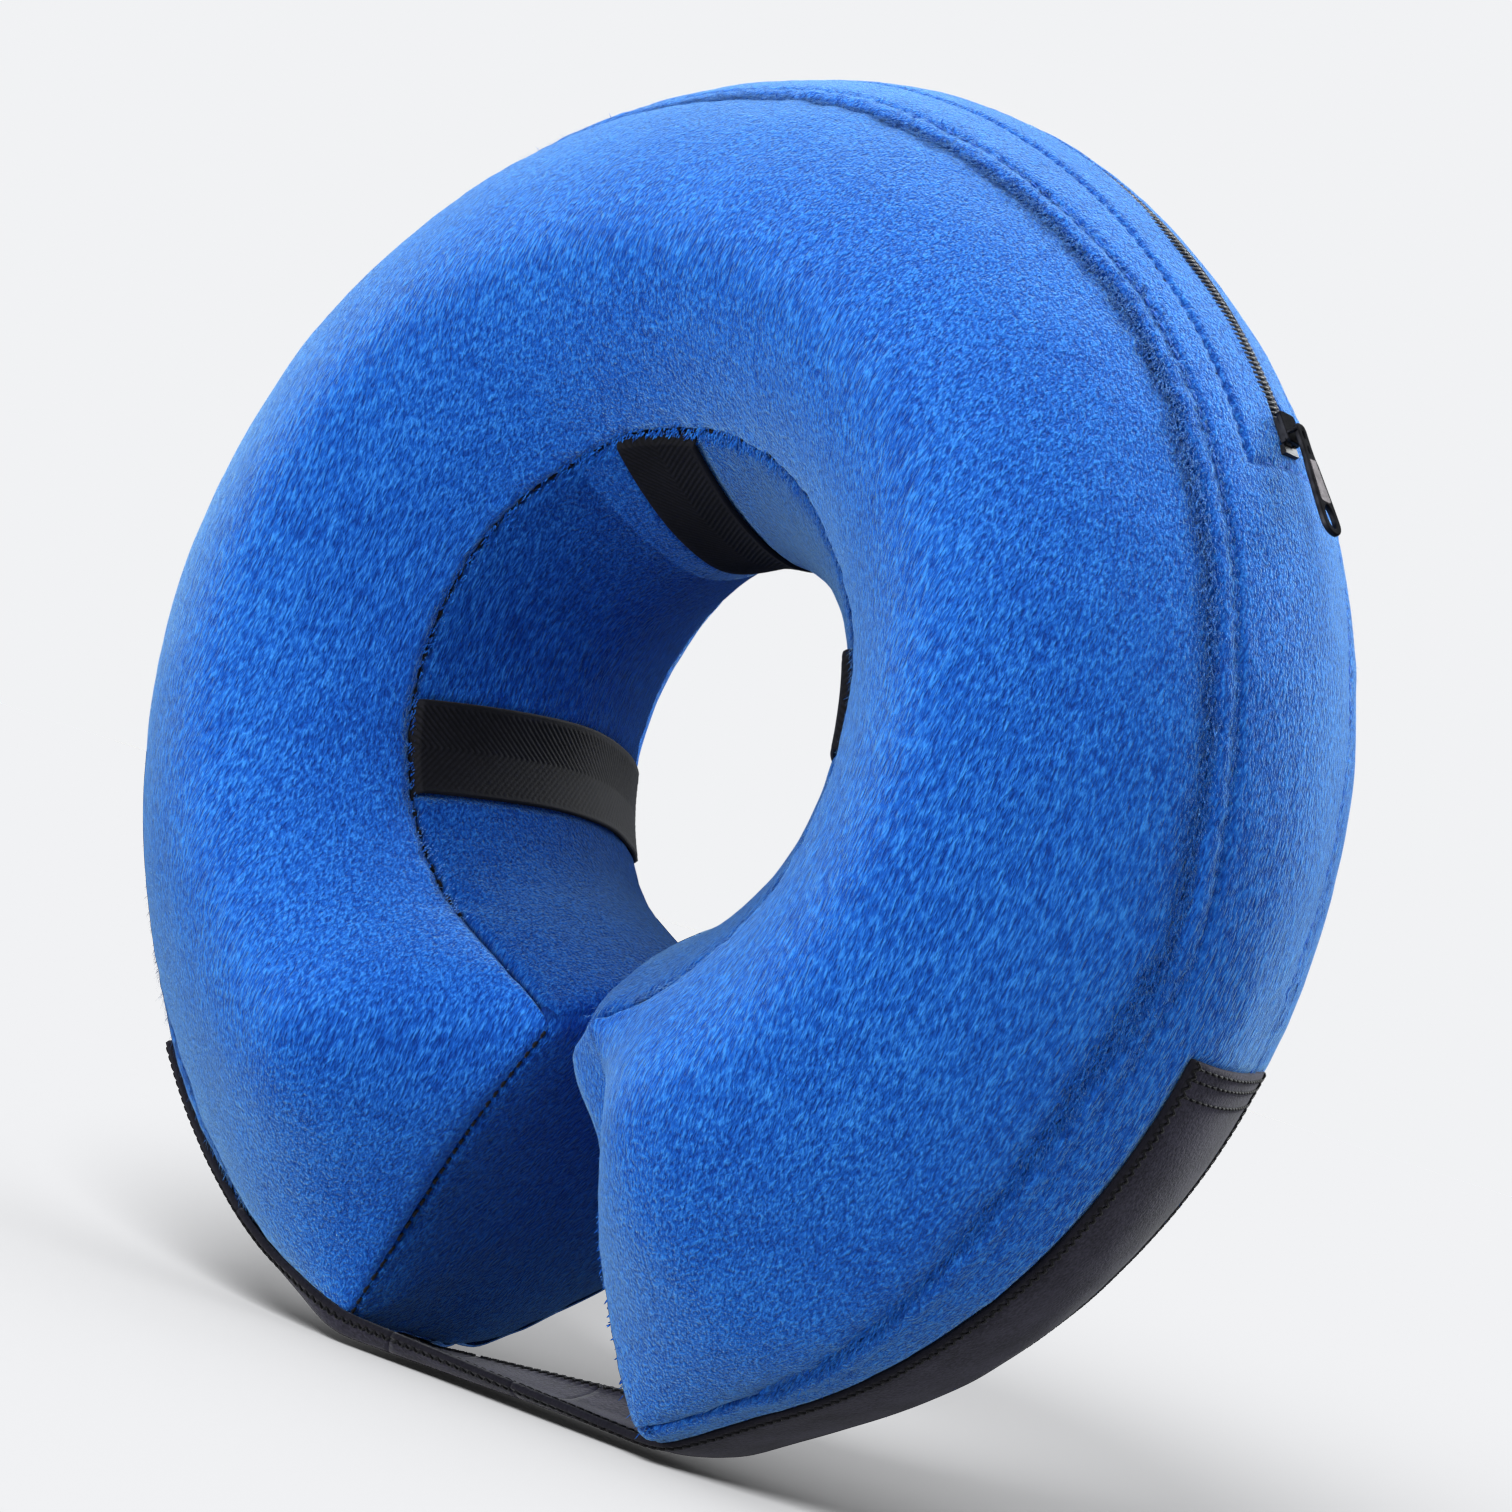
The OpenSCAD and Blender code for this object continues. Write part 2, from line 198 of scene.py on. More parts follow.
# The arms fill out beside the rim towards their ends: polar angle, and how much
SHOULDER = np.array([(-60, 4.5), (-50, 4.0), (-30, 1.0), (-15, 0.0), (198, 0.0), (215, 2.8), (232, 5.6), (246, 7.6),
                     (247, 8.0)])
SHOULDER_AT = 33.0
SHOULDER_W = 21.0
PINCH_OVER = 46.0
PINCH = {"right": (0.80, 0.55), "left": (0.86, 0.04)}      # front panel, rear panel
EAR = 11.0


def pinched(q, length):
    """Outline point and normal, with the front and rear panels drawn in towards the end faces."""
    r, y, nr, ny = outline_at(length)
    half = np.mod(length, OUT_LEN)
    folded = np.minimum(half, OUT_LEN - half)
    l1, l2 = rim_seam_length(q), neck_seam_length(q)
    share = np.clip((folded - l1) / (l2 - l1), 0, 1)
    r1, y1, _, _ = outline_at(l1)
    r2, y2, _, _ = outline_at(l2)
    rear = half > THROAT_AT
    side = np.where(rear, -1.0, 1.0)
    inside = (folded > l1) & (folded < l2)
    right, left = (np.where(rear, PINCH[k][1], PINCH[k][0]) for k in ("right", "left"))
    amount = np.where(np.asarray(q) < 90, right, left)
    k = amount * np.clip(1 - to_end(q, r) / PINCH_OVER, 0, 1) ** 2.0 * inside
    fuller = np.interp(q, UNROUND[:, 0], UNROUND[:, 1]) * np.exp(-(folded / 75) ** 2)
    fuller = fuller + np.interp(q, SHOULDER[:, 0], SHOULDER[:, 1]) * np.exp(-((np.abs(y) - SHOULDER_AT) / SHOULDER_W) ** 2) * (r > CORE_R)
    return r + k * (r1 + (r2 - r1) * share - r) + fuller, y + k * (side * (y1 + (y2 - y1) * share) - y), nr, ny


def ear(q, length):
    """How far the right end face's seam is drawn back into the arm near the neck, at the front."""
    half = np.mod(length, OUT_LEN)
    along = half - neck_seam_length(q) + 32
    weight = np.exp(-(along / 27) ** 2) * (half < THROAT_AT)
    near = np.clip(1 - to_end(q, outline_at(length)[0]) / 32, 0, 1) ** 1.6
    return EAR * weight * near * (np.asarray(q) < 0)


def surface(q, length, lift):
    r, y, nr, ny = pinched(q, length)
    along = end_of("right")[1]
    return place(q, r + nr * lift, y + ny * lift) - ear(q, length)[..., None] * np.array([along[0], 0, along[1]])


# ---------------------------------------------------------------- noise and profiles

_lattice = np.random.default_rng(SEED).uniform(-1, 1, (32, 32, 32))


def noise(p, size):
    """Smooth noise between -1 and 1; size is the length of one lump in millimetres."""
    g = np.asarray(p, float) / size
    i = np.floor(g).astype(int)
    f = g - i
    f = f * f * (3 - 2 * f)
    out = 0
    for dx in (0, 1):
        for dy in (0, 1):
            for dz in (0, 1):
                w = (f[..., 0] if dx else 1 - f[..., 0]) * (f[..., 1] if dy else 1 - f[..., 1]) * (f[..., 2] if dz else 1 - f[..., 2])
                out = out + w * _lattice[(i[..., 0] + dx) % 32, (i[..., 1] + dy) % 32, (i[..., 2] + dz) % 32]
    return out


def edge(s, width, depth):
    """How far a panel's rounded edge has turned down, s from its seam."""
    k = np.clip(1 - s / width, 0, 1)
    return depth * (1 - np.sqrt(1 - k ** 2))


def hump(s, width):
    return np.exp(-(s / width) ** 2)


def ramp(x, a, b):
    k = np.clip((x - a) / (b - a), 0, 1)
    return k * k * (3 - 2 * k)


def stitched(along, pitch):
    """1 in the middle of a stitch's dent, less between stitches."""
    return 0.55 + 0.45 * np.cos(TAU * along / pitch)


# ---------------------------------------------------------------- meshes from grids

def new_object(name, verts, faces, smooth=True):
    mesh = bpy.data.meshes.new(name)
    mesh.from_pydata([tuple(v) for v in np.asarray(verts)], [], faces)
    if smooth:
        mesh.polygons.foreach_set("use_smooth", [True] * len(mesh.polygons))
    obj = bpy.data.objects.new(name, mesh)
    bpy.context.scene.collection.objects.link(obj)
    return obj


def grid_faces(rows, cols, start=0, close=False, flip=False):
    i, j = np.meshgrid(np.arange(rows - 1), np.arange(cols if close else cols - 1), indexing="ij")
    k = (j + 1) % cols
    quad = np.stack([i * cols + j, i * cols + k, (i + 1) * cols + k, (i + 1) * cols + j], -1).reshape(-1, 4) + start
    return (quad[:, ::-1] if flip else quad).tolist()


def grid_normals(p):
    n = np.cross(np.gradient(p, axis=1), np.gradient(p, axis=0))
    return n / np.maximum(np.linalg.norm(n, axis=-1, keepdims=True), 1e-9)


class Cloth:
    """Grids of one mesh, gathered with their normals and their seam shade."""

    def __init__(self):
        self.verts, self.normals, self.shade, self.faces = [], [], [], []
        self.count = 0

    def add(self, p, shade=0.0, crop=(0, None), flip=False, close=False):
        n = grid_normals(p) * (-1 if flip else 1)
        p, n = p[crop[0]:crop[1]], n[crop[0]:crop[1]]
        rows, cols = p.shape[:2]
        self.verts.append(p.reshape(-1, 3))
        self.normals.append(n.reshape(-1, 3))
        self.shade.append(np.broadcast_to(shade, (rows, cols) if np.ndim(shade) < 2 else np.shape(shade)[:2]).reshape(-1)
                          if np.ndim(shade) < 2 else shade[crop[0]:crop[1]].reshape(-1))
        self.faces += grid_faces(rows, cols, self.count, close, flip)
        self.count += rows * cols

    def make(self, name, material, custom=True):
        obj = new_object(name, np.concatenate(self.verts) * MM, self.faces)
        obj.data.materials.append(material)
        # the seam attribute holds painted shade: the material darkens the colour where it is set
        attribute = obj.data.attributes.new("seam", "FLOAT", "POINT")
        attribute.data.foreach_set("value", np.concatenate(self.shade).astype(np.float32))
        if custom:
            obj.data.normals_split_custom_set_from_vertices([tuple(n) for n in np.concatenate(self.normals)])
        return obj


# ---------------------------------------------------------------- materials

def new_material(name):
    material = bpy.data.materials.new(name)
    material.use_nodes = True
    tree = material.node_tree
    return material, tree, tree.nodes["Principled BSDF"]


class Nodes:
    """Short calls for building a node tree."""

    def __init__(self, tree):
        self.tree = tree

    def link(self, a, b):
        self.tree.links.new(a, b)

    def feed(self, socket, value):
        if isinstance(value, bpy.types.NodeSocket):
            self.link(value, socket)
        else:
            socket.default_value = value

    def add(self, kind, **settings):
        node = self.tree.nodes.new(kind)
        for key, value in settings.items():
            setattr(node, key, value)
        return node

    def math(self, operation, a, b=0.0, clamp=False):
        node = self.add("ShaderNodeMath", operation=operation, use_clamp=clamp)
        self.feed(node.inputs[0], a)
        self.feed(node.inputs[1], b)
        return node.outputs[0]

    def vector(self, operation, a, b=None, scale=None, out="Vector"):
        node = self.add("ShaderNodeVectorMath", operation=operation)
        self.feed(node.inputs[0], a)
        if b is not None:
            self.feed(node.inputs[1], b)
        if scale is not None:
            self.feed(node.inputs["Scale"], scale)
        return node.outputs[out]

    def noise(self, vector, scale, detail=2.0, roughness=0.5, distortion=0.0):
        node = self.add("ShaderNodeTexNoise")
        self.feed(node.inputs["Vector"], vector)
        node.inputs["Scale"].default_value = scale
        node.inputs["Detail"].default_value = detail
        node.inputs["Roughness"].default_value = roughness
        node.inputs["Distortion"].default_value = distortion
        return node.outputs["Fac"]

    def ramp(self, value, stops):
        node = self.add("ShaderNodeValToRGB")
        self.feed(node.inputs["Fac"], value)
        elements = node.color_ramp.elements
        while len(elements) < len(stops):
            elements.new(0.5)
        for element, (at, color) in zip(elements, stops):
            element.position = at
            element.color = (*color, 1.0) if len(color) == 3 else color
        return node.outputs["Color"]

    def mix(self, factor, a, b, kind="MIX"):
        node = self.add("ShaderNodeMix", data_type="RGBA", blend_type=kind)
        self.feed(node.inputs[0], factor)
        self.feed(node.inputs[6], a)
        self.feed(node.inputs[7], b)
        return node.outputs[2]

    def object_point(self):
        return self.add("ShaderNodeTexCoord").outputs["Object"]

    def bump(self, height, distance, strength=1.0, normal=None):
        node = self.add("ShaderNodeBump")
        node.inputs["Strength"].default_value = strength
        node.inputs["Distance"].default_value = distance
        self.feed(node.inputs["Height"], height)
        if normal is not None:
            self.link(normal, node.inputs["Normal"])
        return node.outputs["Normal"]


NAP = Vector((0.14, 0.0, 1.0)).normalized()


def plush_material():
    """Short brushed pile: streaks along the nap, lumps, brushed patches, a pale sheen at grazing angles, and painted
    shade in the seams.
    """
    material, tree, shader = new_material("plush")
    n = Nodes(tree)
    point = n.object_point()
    along = n.vector("DOT_PRODUCT", point, tuple(NAP), out="Value")
    shrink = n.math("MULTIPLY", along, 1 - 0.22)
    step = n.vector("SCALE", tuple(NAP), scale=shrink)
    flow = n.vector("SUBTRACT", point, step)
    streak = n.noise(flow, 1450.0, 2.0, 0.6, 0.25)
    strand = n.noise(flow, 3000.0, 1.0, 0.5, 0.2)
    clump = n.noise(flow, 480.0, 2.0, 0.55, 0.3)
    patch = n.noise(point, 26.0, 2.0, 0.5, 0.6)
    value = n.math("ADD", n.math("MULTIPLY", streak, 0.80), n.math("MULTIPLY", clump, 0.12))
    value = n.math("ADD", value, n.math("MULTIPLY", patch, 0.08))
    color = n.ramp(value, [(0.36, (0.002, 0.048, 0.33)), (0.50, (0.008, 0.120, 0.60)), (0.66, (0.045, 0.30, 0.92))])
    # Painted shade: the seam attribute darkens the pile to a deep blue in seam creases, stitch dents, tucked edges and
    # under the slit's lips, and turns its sheen down there.
    seam = n.add("ShaderNodeAttribute", attribute_name="seam").outputs["Fac"]
    color = n.mix(seam, color, (0.002, 0.026, 0.19, 1))
    n.link(color, shader.inputs["Base Color"])
    height = n.math("ADD", n.math("MULTIPLY", streak, 0.75), n.math("MULTIPLY", strand, 0.18))
    height = n.math("ADD", height, n.math("MULTIPLY", clump, 0.40))
    n.link(n.bump(height, 0.0013, 1.0), shader.inputs["Normal"])
    shader.inputs["Roughness"].default_value = 0.92
    shader.inputs["Specular IOR Level"].default_value = 0.15
    n.link(n.math("SUBTRACT", 0.9, n.math("MULTIPLY", seam, 0.85)), shader.inputs["Sheen Weight"])
    shader.inputs["Sheen Roughness"].default_value = 0.34
    shader.inputs["Sheen Tint"].default_value = (0.46, 0.82, 0.98, 1)
    return material


def woven_material(name, dark, light, scale=700.0, roughness=0.75, sheen=0.15, bump=0.0002):
    """A fine dull weave with uneven yarn colour, and painted shade where the seam attribute is set."""
    material, tree, shader = new_material(name)
    n = Nodes(tree)
    point = n.object_point()
    yarn = n.noise(point, scale, 2.0, 0.6)
    broad = n.noise(point, scale / 14, 3.0, 0.55)
    value = n.math("ADD", n.math("MULTIPLY", yarn, 0.6), n.math("MULTIPLY", broad, 0.4))
    color = n.ramp(value, [(0.38, dark), (0.62, light)])
    # Painted shade: the seam attribute darkens the weave in the herringbone's sunken ribs and at the strap's rounded
    # edges.
    painted_shade = n.add("ShaderNodeAttribute", attribute_name="seam").outputs["Fac"]
    color = n.mix(painted_shade, color, (dark[0] * 0.35, dark[1] * 0.35, dark[2] * 0.35, 1))
    n.link(color, shader.inputs["Base Color"])
    n.link(n.bump(yarn, bump, 0.8), shader.inputs["Normal"])
    n.link(n.math("ADD", n.math("MULTIPLY", yarn, 0.2), roughness - 0.1), shader.inputs["Roughness"])
    shader.inputs["Specular IOR Level"].default_value = 0.15
    shader.inputs["Sheen Weight"].default_value = sheen
    shader.inputs["Sheen Roughness"].default_value = 0.5
    return material


def metal_material(name, dark, light, roughness):
    """Plated metal with fine tumbling marks and darker worn patches."""
    material, tree, shader = new_material(name)
    n = Nodes(tree)
    point = n.object_point()
    fine = n.noise(point, 2200.0, 3.0, 0.6)
    broad = n.noise(point, 260.0, 2.0, 0.5)
    n.link(n.ramp(broad, [(0.35, dark), (0.65, light)]), shader.inputs["Base Color"])
    n.link(n.math("ADD", n.math("MULTIPLY", fine, 0.25), roughness), shader.inputs["Roughness"])
    n.link(n.bump(fine, 0.00005, 0.5), shader.inputs["Normal"])
    shader.inputs["Metallic"].default_value = 0.9
    return material


def vinyl_material():
    """Milky film with faint clouding and a soft orange-peel surface."""
    material, tree, shader = new_material("vinyl")
    n = Nodes(tree)
    point = n.object_point()
    cloud = n.noise(point, 60.0, 3.0, 0.5)
    peel = n.noise(point, 900.0, 1.0, 0.5)
    n.link(n.ramp(cloud, [(0.35, (0.44, 0.52, 0.60)), (0.65, (0.62, 0.70, 0.76))]), shader.inputs["Base Color"])
    n.link(n.bump(peel, 0.0001, 0.6), shader.inputs["Normal"])
    n.link(n.math("ADD", n.math("MULTIPLY", cloud, 0.15), 0.22), shader.inputs["Roughness"])
    return material


plush = plush_material()
webbing = woven_material("webbing", (0.0040, 0.0040, 0.0058), (0.0110, 0.0110, 0.0150), 900.0, 0.85, 0.02)
strap_cloth = woven_material("strap_cloth", (0.014, 0.013, 0.022), (0.046, 0.043, 0.066), 1100.0, 0.9, 0.12, 0.0004)
hook_cloth = woven_material("hook_cloth", (0.010, 0.010, 0.013), (0.035, 0.033, 0.040), 1500.0, 0.6, 0.1, 0.0006)
thread = woven_material("thread", (0.0015, 0.0015, 0.002), (0.007, 0.007, 0.009), 2500.0, 0.6, 0.1)
blue_thread = woven_material("blue_thread", (0.010, 0.11, 0.55), (0.020, 0.17, 0.72), 2500.0, 0.8, 0.3)
nylon = woven_material("nylon", (0.025, 0.027, 0.033), (0.10, 0.105, 0.12), 1500.0, 0.4, 0.0)
tape_cloth = woven_material("tape_cloth", (0.003, 0.004, 0.010), (0.010, 0.013, 0.026), 1200.0, 0.8, 0.1)
dark_metal = metal_material("dark_metal", (0.008, 0.008, 0.010), (0.035, 0.035, 0.040), 0.42)
plate_metal = metal_material("plate_metal", (0.05, 0.043, 0.048), (0.09, 0.08, 0.088), 0.6)
vinyl = vinyl_material()

# ---------------------------------------------------------------- closing strap's sizes

STRAP_W = 48.0
STRAP_T = 2.0
SEWN_FROM = -13.0
TIP_AT = 224.0
FRONT_RIGHT = 10.0
FRONT_LEFT = 34.0

# ---------------------------------------------------------------- cover panels

STEP = 0.45
EDGE_OFFSETS = np.array([0.0, 0.35, 0.8, 1.4, 2.1, 3.0, 4.2, 5.8, 8.0])
END_STEPS = np.array([0.0, 0.35, 0.8, 1.4, 2.1, 3.0, 4.2, 5.8, 7.6, 9.6, 11.8, 14.2, 16.8, 19.4, 22.0, 24.6]) / 26.5
TUCK = 2.2


def rows_of(side, step=STEP):
    """Rows of q for one side of a panel, with one spare row past the cut, for the normals there."""
    if side == "right":
        polar = np.arange(0, round((SPLIT_AT - RIGHT_STRAIGHT) / step) + 2) * step
        return np.concatenate([RIGHT_STRAIGHT - (1 - END_STEPS), (SPLIT_AT - polar)[::-1] + step])
    polar = SPLIT_AT + np.arange(-1, math.ceil((LEFT_STRAIGHT - SPLIT_AT) / step)) * step
    return np.concatenate([polar, [LEFT_STRAIGHT], (LEFT_STRAIGHT + (1 - END_STEPS))[::-1]])


def crop_of(side):
    return (0, -1) if side == "right" else (1, None)


def columns(l1, l2, spacing):
    """Outline lengths from seam l1 to seam l2, closer together near both."""
    last = EDGE_OFFSETS[-1]
    middle = max(4, int(round((np.max(l2 - l1) - 2 * last) / spacing)))
    inner = np.linspace(0, 1, middle + 1)[1:-1]
    return np.concatenate([l1 + EDGE_OFFSETS, l1 + last + (l2 - l1 - 2 * last) * inner, l2 - EDGE_OFFSETS[::-1]], -1)


def relief(p):
    """Soft dents and the lumps of the pile."""
    return 0.55 * noise(p, 34) + 0.22 * noise(p + 50, 13) + 0.10 * noise(p * (1, 1, 0.45) + 9, 2.6)


def pucker(p, s, over=7.0, size=5.0):
    return 0.65 * np.exp(-s / over) * noise(p * (1, 1, 1), size)


def with_tucks(q, length, lift, shade, both=True):
    """Adds a column, tucked into the seam, at each side of the panel."""
    length = np.concatenate([length[:, :1], length, length[:, -1:]], 1)
    lift = np.concatenate([lift[:, :1] - TUCK, lift, lift[:, -1:] - TUCK], 1)
    shade = np.concatenate([np.ones_like(shade[:, :1]), shade, np.ones_like(shade[:, -1:])], 1)
    return length, lift, shade


def seam_shade(s, width=1.3, strength=0.8):
    return strength * np.exp(-(s / width) ** 2)


def broad_panel(side, rear):
    """The front panel or the rear panel, from the rim seam to the neck seam."""
    q = rows_of(side)[:, None]
    l1, l2 = rim_seam_length(q), neck_seam_length(q)
    length = columns(l1, l2, 2.1)
    base = surface(q, OUT_LEN - length if rear else length, 0.0)
    s1, s2 = length - l1, l2 - length
    e = to_end(q, outline_at(length)[0])
    along1, along2 = np.radians(q) * 170, np.radians(q) * 70
    lift = 0.9 * (1 - np.exp(-s1 / 11)) * (1 - np.exp(-s2 / 11)) - 0.6 + relief(base)
    lift -= edge(s1, 8.5, 1.8) + edge(s2, 3.4, 2.4) + edge(e, 6.0, 2.8)
    lift += pucker(base, s1) + pucker(base + 31, s2, 6.0, 4.0) + pucker(base + 77, e, 6.0, 4.5)
    lift -= 0.7 * hump(s2, 1.5) * stitched(along2, 5.4)
    shade = np.maximum(seam_shade(s1, 1.0, 0.30), seam_shade(s2, 0.9, 0.9) * (0.45 + 0.55 * stitched(along2, 5.4)))
    shade = np.maximum(shade, seam_shade(e, 1.0, 0.6))
    length, lift, shade = with_tucks(q, length, lift, shade)
    p = surface(q, OUT_LEN - length if rear else length, lift)
    cloth = Cloth()
    cloth.add(p, shade, crop_of(side), flip=not rear)
    name = ("rear_panel_cover_" if rear else "front_panel_cover_") + side
    return cloth.make(name, plush)


def gusset_lift(q, length, base, l1):
    """Lift of the rim gusset: seam edges, top-stitched bands, the slot's stitching and the lips of the slit."""
    s1 = l1 - np.abs(length)
    e = to_end(q, outline_at(length)[0])
    along = np.radians(q) * RING_R
    lift = 0.5 * (1 - np.exp(-s1 / 9)) - 0.6 + relief(base) - edge(s1, 4.6, 1.6) - edge(e, 5.0, 2.8)
    lift += 0.3 * hump(s1 - 3.9, 2.4) + pucker(base + 13, s1, 9.0, 4.0) + pucker(base + 40, e, 6.0, 4.5)
    shade = np.maximum(seam_shade(s1, 1.0, 0.30), seam_shade(e, 1.0, 0.6))
    top = s1 - 7.4
    fade = ramp(q, -30, 5)
    lift -= (0.25 + 0.75 * fade) * hump(top, 1.6) * (0.4 + 0.6 * stitched(along, 4.6))
    shade = np.maximum(shade, 0.42 * fade * hump(top, 0.8) * stitched(along, 4.6))
    slot = ramp(q, SLIT_FROM - 2.0, SLIT_FROM - 1.2) * (1 - ramp(q, SLIT_TO + 1.2, SLIT_TO + 2.0))
    for at in (17.5, -14.5):
        lift -= 1.35 * slot * hump(length - at, 1.2) * (0.4 + 0.6 * stitched(along, 4.6))
        shade = np.maximum(shade, 0.5 * slot * hump(length - at, 0.8) * stitched(along, 4.6))
    across = ramp(length, -15.5, -13.5) * (1 - ramp(length, 16.5, 18.5))
    for at in (SLIT_FROM - 1.5, SLIT_TO + 1.5):
        near = np.radians(q - at) * RING_R
        lift -= 0.8 * across * hump(near, 1.3) * (0.4 + 0.6 * stitched(length, 4.6))
        shade = np.maximum(shade, 0.5 * across * hump(near, 0.8))
    under_left = ramp(q, TIP_AT - 1, TIP_AT + 1) * ramp(length, FRONT_LEFT - STRAP_W - 1, FRONT_LEFT - STRAP_W + 1) * (1 - ramp(length, FRONT_LEFT, FRONT_LEFT + 2))
    under_right = (1 - ramp(q, SEWN_FROM - 1, SEWN_FROM + 1)) * ramp(length, FRONT_RIGHT - STRAP_W - 1, FRONT_RIGHT - STRAP_W + 1) * (1 - ramp(length, FRONT_RIGHT, FRONT_RIGHT + 2))
    lift = np.where(under_left > 0, lift * (1 - under_left) - 2.9 * under_left, lift)
    lift = np.where(under_right > 0, lift * (1 - under_right) - 1.7 * under_right, lift)
    half = slit_half(q)
    lip = np.maximum(np.abs(length - SLIT_MIDDLE) - half, 0)
    open_share = np.clip(half / SLIT_HALF, 0, 1)
    lift += open_share * (1.0 * np.exp(-lip / 4.5) - edge(lip, 1.7, 1.7))
    shade = np.maximum(shade, 0.5 * open_share * hump(lip, 0.5))
    return lift, shade


def slit_half(q):
    wide = SLIT_HALF - 1.45 * ramp(q, SLIDER_AT + 1.5, SLIDER_AT + 5.0)
    return wide * ramp(q, SLIT_FROM, SLIT_FROM + 1.2) * (1 - ramp(q, SLIT_TO - 1.2, SLIT_TO))


def rim_gusset(side):
    q = rows_of(side)[:, None]
    l1 = rim_seam_length(q)
    cloth = Cloth()
    for sign in (1, -1):
        inner = SLIT_MIDDLE + sign * slit_half(q)
        outer = sign * l1
        near = np.array([0, 0.3, 0.7, 1.2, 1.8, 2.8, 4.2])
        stitch = np.array([-2.2, -1.5, -0.9, -0.3, 0.3, 0.9, 1.5, 2.2])
        slot_at = 17.5 if sign > 0 else -14.5
        parts = [inner + sign * near, np.broadcast_to(slot_at + stitch * sign, (len(q), 8))]
        parts.insert(1, inner + sign * 4.2 + (slot_at - 2.2 * sign - inner - sign * 4.2) * np.linspace(0, 1, 7)[1:-1])
        gap_start, gap_end = slot_at + 2.2 * sign, outer - sign * 9.6
        parts.append(gap_start + (gap_end - gap_start) * np.linspace(0, 1, 8)[1:-1])
        tail = np.array([9.6, 8.9, 8.3, 7.7, 7.1, 6.5, 5.8, 5.0, 4.2, 3.4, 2.6, 1.9, 1.3, 0.8, 0.35, 0.0])
        parts.append(outer - sign * tail)
        length = np.concatenate([np.broadcast_to(x, (len(q), np.shape(x)[-1])) for x in parts], 1)
        order = np.minimum.accumulate if sign < 0 else np.maximum.accumulate
        length = order(length, axis=1)
        base = surface(q, length, 0.0)
        lift, shade = gusset_lift(q, length, base, l1)
        length = np.concatenate([length, length[:, -1:] + 0.6 * sign], 1)
        lift = np.concatenate([lift, lift[:, -1:] - TUCK], 1)
        shade = np.concatenate([shade, np.ones_like(shade[:, -1:])], 1)
        cloth.add(surface(q, length, lift), shade, crop_of(side), flip=sign > 0)
        # the lips turn under beside the zipper, painted darker as they go under: painted shade
        rows = (q[:, 0] > SLIT_FROM - 1) & (q[:, 0] < SLIT_TO + 1)
        if rows.sum() > 2:
            ql = q[rows]
            edge_length = inner[rows] + 0 * ql
            lift0 = gusset_lift(ql, edge_length, surface(ql, edge_length, 0.0), l1[rows])[0]
            down = np.array([0.0, 0.5, 1.1, 1.7, 2.1])
            back = np.array([0.0, 0.05, 0.35, 0.95, 2.0])
            p = surface(ql, edge_length + sign * back, lift0 - down * np.clip(slit_half(ql) / SLIT_HALF, 0.05, 1))
            cloth.add(p, np.broadcast_to(np.array([0.5, 0.7, 0.8, 0.9, 1.0]), p.shape[:2]), (0, None), flip=sign < 0)
    return cloth.make("rim_gusset_cover_" + side, plush)


LOOPS = {"top": 103.5, "right": 14.0, "left": 202.0}
LOOP_W = 25.0


def neck_band(side):
    q = rows_of(side)[:, None]
    l2 = neck_seam_length(q)
    length = columns(l2, OUT_LEN - l2, 2.3)
    base = surface(q, length, 0.0)
    s = np.minimum(length - l2, OUT_LEN - l2 - length)
    e = to_end(q, outline_at(length)[0])
    along = np.radians(q) * 70
    lift = 0.9 * (1 - np.exp(-s / 10)) - 0.8 + 0.8 * relief(base) - edge(s, 3.2, 2.4) - edge(e, 8.0, 3.0)
    lift += pucker(base + 5, s, 9.0, 5.0) + pucker(base + 61, e, 6.0, 4.5)
    for at in LOOPS.values():
        off = np.abs(np.radians(q - at)) * outline_at(length)[0]
        lift -= 1.0 * (1 - ramp(off, LOOP_W / 2 - 1, LOOP_W / 2 + 2.5))
    lift -= 0.6 * hump(s, 1.5) * stitched(along, 5.4)
    shade = np.maximum(seam_shade(s, 0.9, 0.9) * (0.45 + 0.55 * stitched(along, 5.4)), seam_shade(e, 1.0, 0.35))
    length, lift, shade = with_tucks(q, length, lift, shade)
    cloth = Cloth()
    cloth.add(surface(q, length, lift), shade, crop_of(side), flip=True)
    return cloth.make("neck_band_cover_" + side, plush)


END_BULGE = {"left": 5.0, "right": 6.0}


